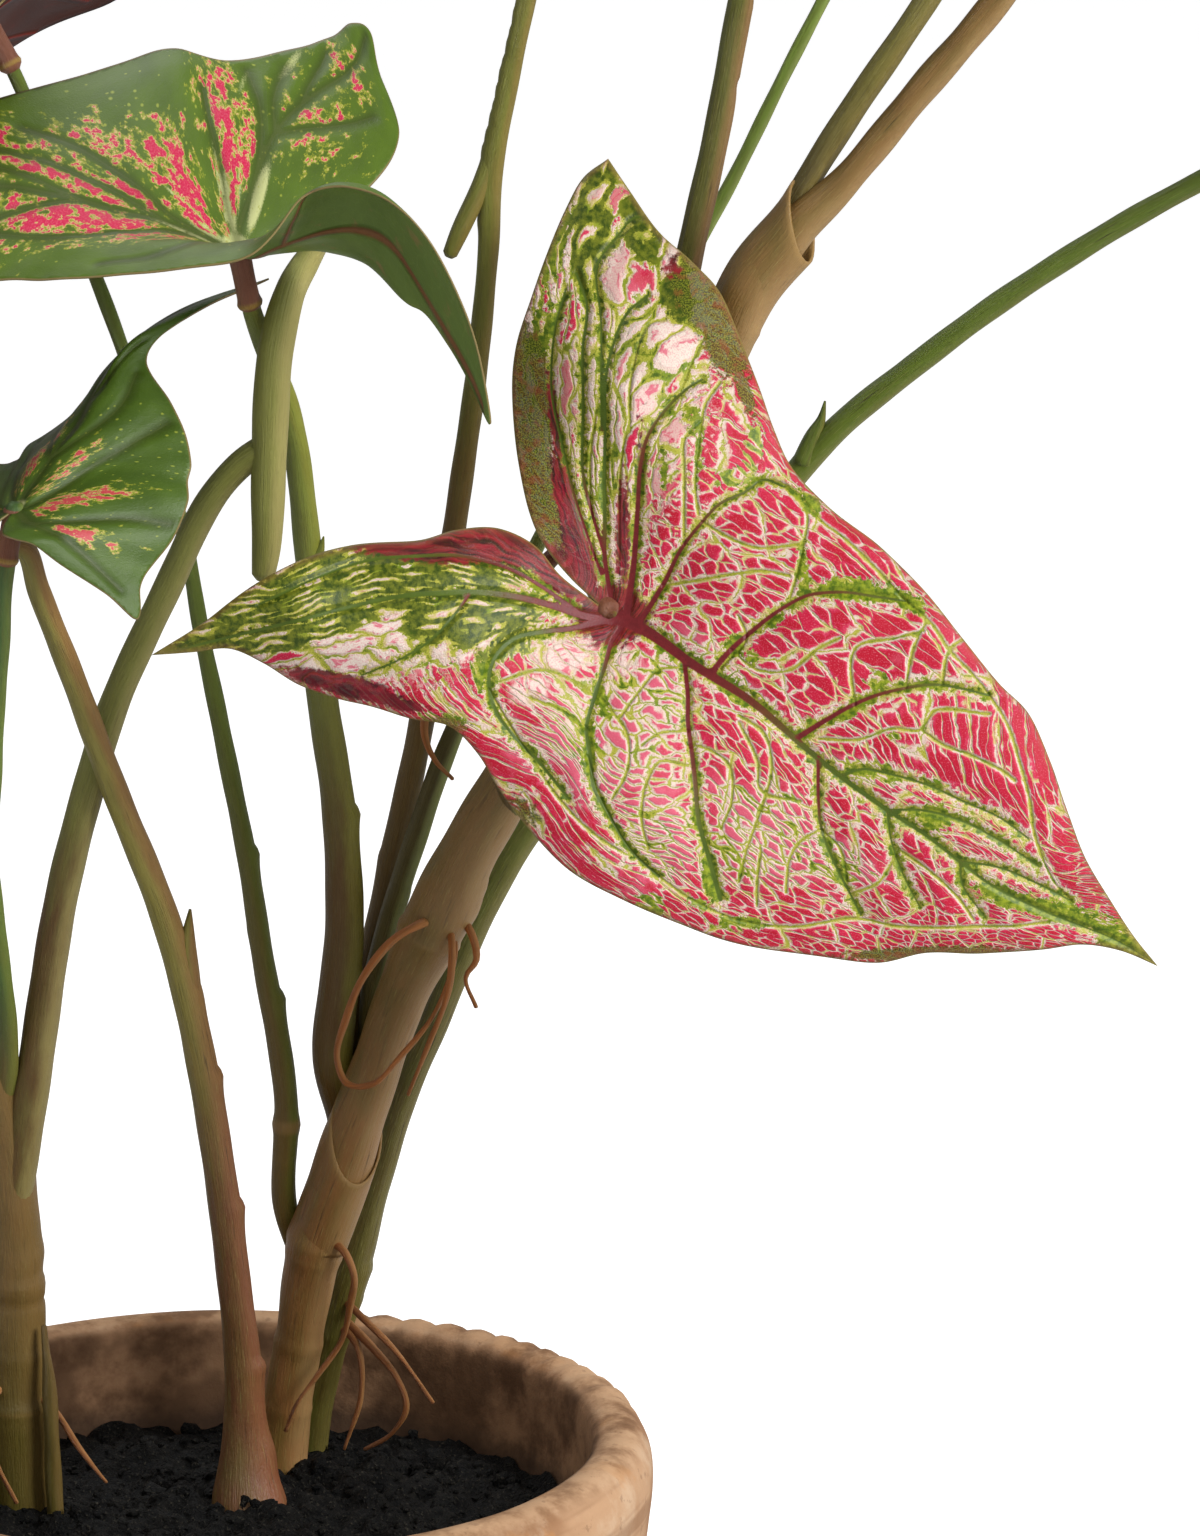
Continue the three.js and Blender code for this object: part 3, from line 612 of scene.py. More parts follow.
@dataclass(frozen=True)
class GreenBlade:
    """The upper face of a green blade with pink blotches."""

    name: str
    deep: Colour = srgb(42, 64, 10)
    fresh: Colour = srgb(94, 120, 26)
    rib: Colour = srgb(44, 52, 10)
    faded: float = 0.0
    seed: float = 0.0

    def material(self) -> bpy.types.Material:
        """Builds the material."""
        return dressed(self.name, "blotches", fill_green, inputs_of(self), 0.0009, 0.4)


@dataclass(frozen=True)
class Underside:
    """The lower face of a blade."""

    name: str
    dark: Colour = srgb(66, 86, 30)
    light: Colour = srgb(112, 134, 62)
    rib: Colour = srgb(120, 62, 40)
    edge: Colour = srgb(120, 134, 66)
    stain: Colour = srgb(176, 96, 84)
    stains: float = 0.3
    shine: float = 0.25

    def material(self) -> bpy.types.Material:
        """Builds the material."""
        values = inputs_of(self, "shine")
        return dressed(self.name, "underside", fill_underside, values, 0.0012, self.shine)


def richer(colour: Colour) -> Colour:
    """A colour made deeper and warmer, as wet stem tissue is."""
    return (colour[0] * 0.94, colour[1] * 0.9, colour[2] * 0.58, 1.0)


@dataclass(frozen=True)
class StemSkin:
    """The skin of a cane, a petiole, a socket or a root."""

    name: str
    low: Colour
    high: Colour
    start: float = 0.1
    end: float = 0.6
    patch: Colour = srgb(96, 84, 48)
    mottle: float = 0.4
    # flank: a lighter tint on one side, partly own colour and partly painted light where that side
    # faces the key lamp
    flank: Colour = srgb(150, 160, 80)
    flank_side: float = 1.0
    flank_amount: float = 0.4
    seam: Colour = srgb(52, 44, 26)
    fibre: Colour = srgb(176, 170, 124)
    streak: float = 0.4
    scar: Colour = srgb(150, 120, 84)
    gloss: float = 0.34
    relief: float = 0.0008

    def material(self) -> bpy.types.Material:
        """Builds the material."""
        values = inputs_of(self, "relief")
        for title in ("low", "high", "patch", "flank", "seam", "fibre", "scar"):
            values[title] = richer(values[title])
        return dressed(self.name, "stem_skin", fill_stem, values, self.relief, 0.4)


@dataclass(frozen=True)
class PlainGround:
    """Clay, soil or the floor."""

    name: str
    fill: Callable[[Graph, dict], dict]
    relief: float
    shine: float = 0.3

    def material(self) -> bpy.types.Material:
        """Builds the material."""
        return dressed(self.name, f"{self.name}_surface", self.fill, {}, self.relief, self.shine)


CLAY = PlainGround("weathered_clay", fill_clay, 0.0008, 0.25)
SOIL = PlainGround("potting_mix", fill_soil, 0.005, 0.18)
FLOOR = PlainGround("floor", fill_floor, 0.0, 0.1)


# Curves and pieces


def spline(points: Sequence[Sequence[float]], step: float, space: int = 3) -> np.ndarray:
    """Points along a smooth open curve through the given ones.

    Args:
        points: The points that the curve passes, with any further values after the place.
        step: The spacing along the curve.
        space: How many of the values are the place.

    Returns:
        One row for each point on the curve.
    """
    knots = np.array(points, float)
    if len(knots) == 2:
        knots = np.array([knots[0], knots.mean(axis=0), knots[1]])
    ends = np.vstack([2 * knots[0] - knots[1], knots, 2 * knots[-1] - knots[-2]])
    rows = []
    for i in range(1, len(ends) - 2):
        before, first, second, after = ends[i - 1 : i + 3]
        gaps = [
            max(np.linalg.norm((b - a)[:space]), 1e-6) ** 0.5
            for a, b in ((before, first), (first, second), (second, after))
        ]
        leave = (first - before) / gaps[0] - (second - before) / (gaps[0] + gaps[1])
        leave = (leave + (second - first) / gaps[1]) * gaps[1]
        reach = (second - first) / gaps[1] - (after - first) / (gaps[1] + gaps[2])
        reach = (reach + (after - second) / gaps[2]) * gaps[1]
        count = max(1, math.ceil(np.linalg.norm((second - first)[:space]) / step))
        t = (np.arange(count) / count)[:, None]
        cube = 2 * first - 2 * second + leave + reach
        square = 3 * second - 3 * first - 2 * leave - reach
        rows.append(first + leave * t + square * t**2 + cube * t**3)
    rows.append(knots[-1:])
    return np.vstack(rows)


def lengths_along(points: np.ndarray) -> np.ndarray:
    """The length of a path up to each of its points."""
    steps = np.linalg.norm(np.diff(points, axis=0), axis=1)
    return np.concatenate([[0.0], np.cumsum(steps)])


def finished_piece(
    bm: bmesh.types.BMesh,
    name: str,
    materials: Sequence[bpy.types.Material],
    nodes: Sequence[str],
) -> bpy.types.Object:
    """Makes a mesh into a piece of the plant that stands for CAD nodes.

    Args:
        bm: The finished mesh, freed here.
        name: The piece's name.
        materials: Its materials, in the order of its faces' material numbers.
        nodes: The CAD nodes that it stands for.

    Returns:
        The piece.
    """
    mesh = bpy.data.meshes.new(name)
    bm.to_mesh(mesh)
    bm.free()
    for material in materials:
        mesh.materials.append(material)
    mesh.polygons.foreach_set("use_smooth", np.ones(len(mesh.polygons), bool))
    piece = bpy.data.objects.new(name, mesh)
    bpy.context.scene.collection.objects.link(piece)
    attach(piece, BODY)
    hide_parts(*nodes)
    LOG.info("%s: %d faces", name, len(mesh.polygons))
    return piece


# Stems


class Shape(Enum):
    """How a mark changes a stem's girth."""

    RING = "ring"  # swells and sinks evenly
    LIP = "lip"  # ends sharply above


@dataclass(frozen=True)
class Mark:
    """A ring, ledge or dent on a stem, in mm.

    Attributes:
        size: How far it stands out, or in if negative.
        facing: The side that it is on, in degrees from +X towards +Y, or None for all round.
        scar: How much of the scar's colour it takes.
    """

    shape: Shape
    height: float
    size: float
    spread: float
    facing: float | None = None
    scar: float = 0.6

    def profile(self, along: np.ndarray, middle: float, turns: np.ndarray) -> np.ndarray:
        """Its strength from 0 to 1 at each station and each side.

        Args:
            along: The length along the stem at each station.
            middle: The length at which the mark stands.
            turns: The angle of each side, in radians.

        Returns:
            One row for each station and one column for each side.
        """
        offset = along - middle
        if self.shape is Shape.RING:
            rise = np.exp(-((offset / self.spread) ** 2))
        else:
            edge = 1 / (1 + np.exp(np.clip(offset / 0.45, -30, 30)))
            rise = edge * np.exp(-np.maximum(-offset, 0) / self.spread)
        facing = np.ones_like(turns)
        if self.facing is not None:
            facing = np.maximum(0, np.cos(turns - math.radians(self.facing))) ** 1.4
        return rise[:, None] * facing[None, :]


@dataclass
class Stem:
    """A tapered stem with its spurs, in mm.

    Attributes:
        routes: The main route and its spurs, as x, y, z and radius.
        marks: The rings, ledges and dents of the main route.
        step: The spacing of its stations.
        flutes: The number of shallow ribs along it.
        wander: How far its girth wanders.
    """

    name: str
    node: str
    slot: str
    skin: StemSkin
    routes: Sequence[Route]
    marks: Sequence[Mark] = ()
    sides: int = 22
    step: float = 1.7
    flutes: int = 0
    flute_depth: float = 0.0
    wander: float = 0.12
    seed: int = 0
    collars: Sequence["Collar"] = ()

    def build(self) -> bpy.types.Object:
        """Builds the stem and dresses it.

        Returns:
            The piece.
        """
        bm = bmesh.new()
        for number, route in enumerate(self.routes):
            rings, along, side, scar = self.rings(route, self.marks if number == 0 else ())
            sweep(bm, rings, along, side, scar)
        for collar in self.collars:
            collar.add(bm)
        return finished_piece(bm, self.name, [self.skin.material()], [self.node])

    def rings(self, route: Route, marks: Sequence[Mark]) -> tuple:
        """The rings of points round one route.

        Args:
            route: The route.
            marks: Its marks.

        Returns:
            The rings, the length along at each, and the side and scar values of each point.
        """
        path = spline(route, self.step)
        along = lengths_along(path[:, :3])
        turns = np.arange(self.sides) * 2 * math.pi / self.sides
        girth = np.repeat(path[:, 3:4], self.sides, axis=1)
        scar = np.zeros_like(girth)
        for mark in marks:
            middle = along[np.argmin(np.abs(path[:, 2] - mark.height))]
            rise = mark.profile(along, middle, turns)
            girth += mark.size * rise
            scar = np.maximum(scar, rise * mark.scar)
        if self.flutes:
            girth += self.flute_depth * np.cos(self.flutes * turns + along[:, None] * 0.01)
        phase = self.seed * 1.7
        girth += self.wander * np.sin(along * 0.11 + phase)[:, None] * np.cos(turns + phase)
        girth += self.wander * 0.6 * np.sin(along[:, None] * 0.27 + 2 * turns + phase)
        frames = ring_frames(path[:, :3])
        heads = [path[0, :3] - frames[0][0] * path[0, 3] * 0.5]
        tails = [path[-1, :3] + frames[0][-1] * path[-1, 3] * 0.5]
        centres = np.vstack([heads, path[:, :3], tails])
        girth = np.vstack([girth[:1] * 0.55, girth, girth[-1:] * 0.55])
        scar = np.vstack([scar[:1], scar, scar[-1:]])
        along = np.concatenate(
            [along[:1] - path[0, 3] * 0.5, along, along[-1:] + path[-1, 3] * 0.5],
        )
        frames = [np.vstack([axis[:1], axis, axis[-1:]]) for axis in frames]
        ways = spokes(turns, frames[1], frames[2])
        return centres[:, None, :] + girth[:, :, None] * ways, along, ways[:, :, 0], scar


def ring_frames(path: np.ndarray) -> tuple[np.ndarray, np.ndarray, np.ndarray]:
    """The direction along a path, and two directions across it, the first nearest +X.

    Args:
        path: The path's points.

    Returns:
        The three directions at each point.
    """
    forward = np.gradient(path, axis=0)
    forward /= np.linalg.norm(forward, axis=1, keepdims=True)
    right = np.array([1.0, 0.0, 0.0]) - forward[:, :1] * forward
    right /= np.linalg.norm(right, axis=1, keepdims=True)
    return forward, right, np.cross(forward, right)


def spokes(turns: np.ndarray, right: np.ndarray, back: np.ndarray) -> np.ndarray:
    """The outward direction of each side at each station."""
    cosine, sine = np.cos(turns)[None, :, None], np.sin(turns)[None, :, None]
    return cosine * right[:, None, :] + sine * back[:, None, :]


def sweep(
    bm: bmesh.types.BMesh,
    rings: np.ndarray,
    along: np.ndarray,
    side: np.ndarray,
    scar: np.ndarray,
    closed: bool = False,
) -> None:
    """Extrudes a circle from ring to ring, and closes its ends.

    Args:
        bm: The mesh to add to.
        rings: The place of each point of each ring, in mm.
        along: The length along the stem at each ring, in mm.
        side: Each point's value on the side attribute.
        scar: Each point's value on the scar attribute.
        closed: Whether the last ring joins the first, in place of the two caps.
    """
    layers = bm.verts.layers
    column = layers.int.get("column") or layers.int.new("column")
    row = layers.int.get("row") or layers.int.new("row")
    side_layer = layers.float.get("side") or layers.float.new("side")
    scar_layer = layers.float.get("scar") or layers.float.new("scar")
    uv = bm.loops.layers.uv.get("UVMap") or bm.loops.layers.uv.new("UVMap")
    count = rings.shape[1]
    ring = bmesh.ops.create_circle(bm, cap_ends=False, radius=1.0, segments=count)["verts"]
    for number, vert in enumerate(ring):
        vert[column] = number
    edges = list(dict.fromkeys(edge for vert in ring for edge in vert.link_edges))
    first_edges = edges
    faces = []

    def settle(verts: Sequence[bmesh.types.BMVert], level: int) -> None:
        """Puts a ring's points in their places."""
        for vert in verts:
            number = vert[column]
            vert.co = Vector(rings[level, number]) * MM
            vert[row] = level
            vert[side_layer] = float(side[level, number])
            vert[scar_layer] = float(scar[level, number])

    settle(ring, 0)
    for level in range(1, len(rings)):
        made = bmesh.ops.extrude_edge_only(bm, edges=edges)["geom"]
        settle([part for part in made if isinstance(part, bmesh.types.BMVert)], level)
        sides = [part for part in made if isinstance(part, bmesh.types.BMEdge)]
        edges = [edge for edge in sides if all(vert[row] == level for vert in edge.verts)]
        faces += [part for part in made if isinstance(part, bmesh.types.BMFace)]
    if closed:
        faces += bmesh.ops.bridge_loops(bm, edges=first_edges + edges)["faces"]
    else:
        for ends in (first_edges, edges):
            faces += bmesh.ops.contextual_create(bm, geom=ends)["faces"]
    for face in faces:
        wraps = {loop.vert[column] for loop in face.loops} >= {0, count - 1}
        for loop in face.loops:
            number = loop.vert[column]
            turn = count if wraps and number == 0 and len(face.loops) <= 4 else number
            loop[uv].uv = (turn / count, along[loop.vert[row]] * MM)
    bmesh.ops.recalc_face_normals(bm, faces=faces)


@dataclass(frozen=True)
class Collar:
    """A thin sheath round a stem, with a slanting mouth, in mm.

    Attributes:
        route: The sheath's axis, with its inner radius.
        slant: How much further the tall side reaches.
        facing: The tall side, in degrees from +X towards +Y.
        flare: How far the mouth turns out.
    """

    route: Route
    wall: float = 1.0
    slant: float = 10.0
    facing: float = 180.0
    flare: float = 0.5

    def add(self, bm: bmesh.types.BMesh, sides: int = 28, step: float = 1.6) -> None:
        """Adds the sheath to a stem's mesh.

        Args:
            bm: The mesh to add to.
            sides: The number of sides.
            step: The spacing of its stations, in mm.
        """
        path = spline(self.route, step)
        turns = np.arange(sides) * 2 * math.pi / sides
        share = lengths_along(path[:, :3])
        share = share / share[-1]
        forward, right, back = ring_frames(path[:, :3])
        tall = 0.5 + 0.5 * np.cos(turns - math.radians(self.facing))
        lift = (share**1.5)[:, None] * tall[None, :] * self.slant
        bell = self.flare * share[:, None] ** 6
        outer = path[:, 3:4] + self.wall * (0.35 + 0.65 * share[:, None]) + bell
        lip = outer[-1:] - self.wall * 0.5
        inner = (path[:, 3:4] + bell)[::-1]
        girth = np.vstack([outer + 0 * lift, lip + 0 * lift[:1], inner + 0 * lift])
        order = list(range(len(path))) + [len(path) - 1] + list(range(len(path)))[::-1]
        lifts = lift[order]
        lifts[len(path)] += self.wall * 0.5
        ways = spokes(turns, right[order], back[order])
        rings = path[order, :3][:, None, :] + girth[:, :, None] * ways
        rings = rings + lifts[:, :, None] * forward[order][:, None, :]
        scar = np.repeat((share[order] ** 8)[:, None], sides, axis=1)
        sweep(bm, rings, lengths_along(path[:, :3])[order], ways[:, :, 0], scar, closed=True)


# Leaf blades


@dataclass(frozen=True)
class Vein:
    """A vein of a flat blade, in mm from its root.

    Attributes:
        base: Its half width at the root, or 0 for a fine vein.
        tip: Its half width at its end.
        red: How far along it stays red.
        across: Its place in the fan of veins, or None if the cells don't follow it.
        side: 1 on one side of the midrib, -1 on the other and 0 for the midrib.
    """

    path: Sequence[Flat]
    base: float = 0.0
    tip: float = 0.0
    red: float = 0.0
    across: float | None = None
    side: int = 1


def veins_of(text: str) -> list[Vein]:
    """Veins from a text with a slash between veins, and numbers and a colon before a path."""
    parts = [vein.rpartition(":") for vein in text.split("/")]
    return [Vein(rows(path), *map(float, numbers.split())) for numbers, _, path in parts]


@dataclass(frozen=True)
class Area:
    """A soft oval of colour on a blade, in flat mm and degrees, and its strength."""

    tint: Tint
    ovals: Sequence[tuple[float, float, float, float, float, float]]

    def values(self, points: np.ndarray) -> np.ndarray:
        """The area's strength at each flat point."""
        total = np.zeros(len(points))
        for u, v, reach_u, reach_v, turn, strength in self.ovals:
            angle = math.radians(turn)
            du, dv = points[:, 0] - u, points[:, 1] - v
            x = (du * math.cos(angle) + dv * math.sin(angle)) / reach_u
            y = (-du * math.sin(angle) + dv * math.cos(angle)) / reach_v
            total = np.maximum(total, strength * np.exp(-0.8 * (x**2 + y**2)))
        return total


class ThinPlate:
    """A smooth surface through values at scattered flat points."""

    def __init__(self, places: np.ndarray, values: np.ndarray, ease: float = 0.0) -> None:
        """Solves for the surface.

        Args:
            places: The flat points.
            values: The values at them, one row each.
            ease: How far the surface may miss the values, for a smoother surface.
        """
        self.scale = np.abs(places).max()
        self.knots = places / self.scale
        count = len(places)
        rows = np.zeros((count + 3, count + 3))
        rows[:count, :count] = self.pull(self.knots) + ease * np.eye(count)
        rows[:count, count] = 1
        rows[:count, count + 1 :] = self.knots
        rows[count:, :count] = rows[:count, count:].T
        targets = np.vstack([values, np.zeros((3, values.shape[1]))])
        self.weights = np.linalg.solve(rows, targets)

    def pull(self, points: np.ndarray) -> np.ndarray:
        """How strongly each knot pulls at each point."""
        square = ((points[:, None, :] - self.knots[None, :, :]) ** 2).sum(axis=2)
        return square * np.log(np.maximum(square, 1e-12))

    def __call__(self, places: np.ndarray) -> np.ndarray:
        """The values at flat points."""
        points = places / self.scale
        count = len(self.knots)
        plane = np.c_[np.ones(len(points)), points]
        return self.pull(points) @ self.weights[:count] + plane @ self.weights[count:]


@dataclass(frozen=True)
class Bend:
    """A blade that bends down along its midrib, with raised halves and a waved edge."""

    at: tuple[float, float, float]
    heading: float
    pitch: float
    droop: float
    length: float
    roll: float = 0.0
    fold: float = 0.18
    wave: float = 0.1

    def __call__(self, places: np.ndarray) -> np.ndarray:
        """Where flat points go, in mm."""
        u, v = places[:, 0], places[:, 1]
        start = math.radians(self.pitch)
        bend = math.radians(self.droop) / self.length
        angle = start + bend * v
        side = (u / self.length) ** 2
        ripple = self.wave * self.length * side * np.sin(9 * v / self.length + self.heading)
        lift = self.fold * np.abs(u) - 0.35 * self.length * side + ripple
        y = (np.sin(angle) - math.sin(start)) / bend + lift * np.sin(angle)
        z = (np.cos(angle) - math.cos(start)) / bend + lift * np.cos(angle)
        roll = math.radians(self.roll)
        x, z = u * math.cos(roll) + z * math.sin(roll), -u * math.sin(roll) + z * math.cos(roll)
        turn = math.radians(self.heading - 90)
        x, y = x * math.cos(turn) - y * math.sin(turn), x * math.sin(turn) + y * math.cos(turn)
        return np.c_[x, y, z] + np.array(self.at)


def gaps_to(points: np.ndarray, path: np.ndarray) -> tuple[np.ndarray, np.ndarray]:
    """The distance from each point to a path, and the length along the path of the nearest spot.

    Args:
        points: Flat points.
        path: The path's points.

    Returns:
        The distances and the lengths along.
    """
    best = np.full(len(points), 1e9)
    where = np.zeros(len(points))
    marks = lengths_along(path)
    for i in range(len(path) - 1):
        start, run = path[i], path[i + 1] - path[i]
        square = max(float(run @ run), 1e-12)
        share = np.clip(((points - start) @ run) / square, 0, 1)
        gap = np.linalg.norm(points - start - share[:, None] * run, axis=1)
        nearer = gap < best
        best[nearer] = gap[nearer]
        where[nearer] = marks[i] + share[nearer] * math.sqrt(square)
    return best, where


def inside(points: np.ndarray, loop: np.ndarray) -> np.ndarray:
    """Which flat points lie inside a closed outline."""
    x, y = points.T
    result = np.zeros(len(points), bool)
    for a, b in zip(loop, np.roll(loop, -1, axis=0)):
        crosses = (a[1] > y) != (b[1] > y)
        result ^= crosses & (x < (b[0] - a[0]) * (y - a[1]) / (b[1] - a[1] + 1e-12) + a[0])
    return result


@dataclass
class Blade:
    """A leaf blade drawn flat and put in its place, in mm.

    Attributes:
        spans: The outline in spans between its corners.
        place: The rule that puts flat points in space.
        puff: How far the blade swells between the main veins.
        ruffle: How far the whole blade waves.
    """

    name: str
    node: str
    slot: str
    spans: Sequence[Sequence[Flat]]
    place: Placing
    veins: Sequence[Vein]
    areas: Sequence[Area]
    upper: object
    lower: Underside
    spacing: float = 3.0
    thickness: float = 0.55
    puff: float = 1.0
    ruffle: float = 0.3

    def build(self) -> bpy.types.Object:
        """Builds the blade and dresses it.

        Returns:
            The piece.
        """
        points, triangles, values = self.flat_mesh()
        placed = self.place(points)
        step = 0.5
        across = self.place(points + [step, 0]) - placed
        along = self.place(points + [0, step]) - placed
        normal = np.cross(across, along)
        normal /= np.linalg.norm(normal, axis=1, keepdims=True)
        placed = placed + normal * self.relief(points, values)[:, None]
        bm = bmesh.new()
        uv = bm.loops.layers.uv.new("UVMap")
        layers = [(bm.verts.layers.float.new(name), value) for name, value in values.items()]
        verts = []
        for number, place in enumerate(placed):
            vert = bm.verts.new(Vector(place) * MM)
            for layer, value in layers:
                vert[layer] = float(value[number])
            verts.append(vert)
        for triangle in triangles:
            face = bm.faces.new([verts[corner] for corner in triangle])
            for loop, corner in zip(face.loops, triangle):
                loop[uv].uv = points[corner] / UV_SPAN + 0.5
        bmesh.ops.delete(bm, geom=[v for v in bm.verts if not v.link_faces], context="VERTS")
        materials = [self.upper.material(), self.lower.material()]
        piece = finished_piece(bm, self.name, materials, [self.node])
        thick = piece.modifiers.new("thickness", "SOLIDIFY")
        thick.thickness = self.thickness * MM
        thick.offset = -1.0
        thick.material_offset = 1
        thick.use_even_offset = False
        return piece

    def flat_mesh(self) -> tuple[np.ndarray, list, dict[str, np.ndarray]]:
        """Draws the blade flat, with its outline and veins as edges.

        Returns:
            The points, the triangles and the attribute values.
        """
        fine_step = self.spacing * 0.8
        outline = np.vstack([spline(span, fine_step, 2)[:-1] for span in self.spans])
        paths = [spline(vein.path, fine_step, 2) for vein in self.veins]
        paths = [path[inside(path, outline)] for path in paths]
        kept = [(vein, path) for vein, path in zip(self.veins, paths) if len(path) > 1]
        low, high = outline.min(axis=0), outline.max(axis=0)
        rise = self.spacing * math.sqrt(3) / 2
        grid = [
            (u + (number % 2) * self.spacing / 2, v)
            for number, v in enumerate(np.arange(low[1], high[1], rise))
            for u in np.arange(low[0], high[0], self.spacing)
        ]
        grid = np.array(grid)
        grid = grid[inside(grid, outline)]
        ring = np.vstack([outline, outline[:1]])
        clear = gaps_to(grid, ring)[0] > self.spacing * 0.55
        for _, path in kept:
            clear &= gaps_to(grid, path)[0] > self.spacing * 0.5
        coords = [outline, *[path for _, path in kept], grid[clear]]
        count = len(outline)
        edges = [(i, (i + 1) % count) for i in range(count)]
        start = count
        for _, path in kept:
            edges += [(start + i, start + i + 1) for i in range(len(path) - 1)]
            start += len(path)
        drawn = delaunay_2d_cdt([Vector(p) for p in np.vstack(coords)], edges, [], 1, 1e-4)
        points = np.array([tuple(p) for p in drawn[0]])
        triangles = [tuple(face) for face in drawn[2]]
        return points, triangles, self.point_values(points, kept, ring)

    def point_values(
        self, points: np.ndarray, kept: Sequence[tuple[Vein, np.ndarray]], ring: np.ndarray
    ) -> dict[str, np.ndarray]:
        """The attribute values that the finishes read at each point.

        Args:
            points: The flat points.
            kept: The veins and their paths.
            ring: The closed outline.

        Returns:
            One array for each attribute.
        """
        values = {
            "vein_gap": np.full(len(points), 40.0),
            "vein_half": np.full(len(points), 0.3),
            "vein_red": np.zeros(len(points)),
            "fine_gap": np.full(len(points), 20.0),
            "edge_gap": gaps_to(points, ring)[0],
        }
        samples, targets = [], []
        for vein, path in kept:
            gap, where = gaps_to(points, path)
            if vein.base == 0:
                values["fine_gap"] = np.minimum(values["fine_gap"], gap)
                continue
            total = lengths_along(path)[-1]
            half = vein.base + (vein.tip - vein.base) * (where / total) ** 0.5
            nearer = gap - half < values["vein_gap"] - values["vein_half"]
            values["vein_gap"][nearer] = gap[nearer]
            values["vein_half"][nearer] = half[nearer]
            red = 1 / (1 + np.exp((where - vein.red) / max(vein.red * 0.12, 0.5)))
            values["vein_red"][nearer] = red[nearer]
            if vein.across is not None:
                marks = lengths_along(path)
                for mark in np.arange(0, total, 9.0):
                    number = int(np.argmin(np.abs(marks - mark)))
                    samples.append(path[number])
                    midrib = vein.side == 0
                    targets.append((mark if midrib else vein.across, vein.side * mark))
        fan = ThinPlate(np.array(samples), np.array(targets, float), 0.002)(points)
        values["across"], values["along"] = fan[:, 0], fan[:, 1]
        for area in self.areas:
            values[area.tint.value] = area.values(points)
        for tint in Tint:
            values.setdefault(tint.value, np.zeros(len(points)))
        return values

    def relief(self, points: np.ndarray, values: dict[str, np.ndarray]) -> np.ndarray:
        """How far each point stands out from the smooth blade, in mm."""
        swell = self.puff * (1 - np.exp(-((values["vein_gap"] / 6.5) ** 2)))
        swell -= 0.22 * np.exp(-((values["fine_gap"] / 0.9) ** 2)) * min(1.0, self.puff)
        swell *= np.clip(values["edge_gap"] / 7, 0, 1)
        u, v = points.T
        wave = np.sin(u * 0.21 + 1.3 * np.sin(v * 0.09)) * np.sin(v * 0.17 + 0.8 * np.sin(u * 0.12))
        return swell + self.ruffle * wave


# Routes and shapes, in mm

CANE_ROUTES = {
    "cane_left": rows("""-62 20 62 9, -62 22 92 9.2, -63 22 141 8.8, -63 20 172 8.4, -65 15 207 7.6,
        -69 9 239 6.6, -72 4 270 5.6"""),
    "cane_right": rows("""12 60 62 8, 14 58 100 7.6, 19 54 134 7.2, 25 50 164 8.4, 34 44 193 8.6,
        42 40 216 7.6, 50 36 241 7.6, 62 30 268 9.6, 71 26 289 8.6, 100 18 338 8, 123 14 382 7.4,
        140 12 429 7.2, 150 10 454 8.2, 163 10 471 6.4, 177 11 485 4.6, 207 14 520 4.3,
        244 16 565 3.9, 280 16 605 3.4, 310 12 634 3, 332 6 651 2.8"""),
}

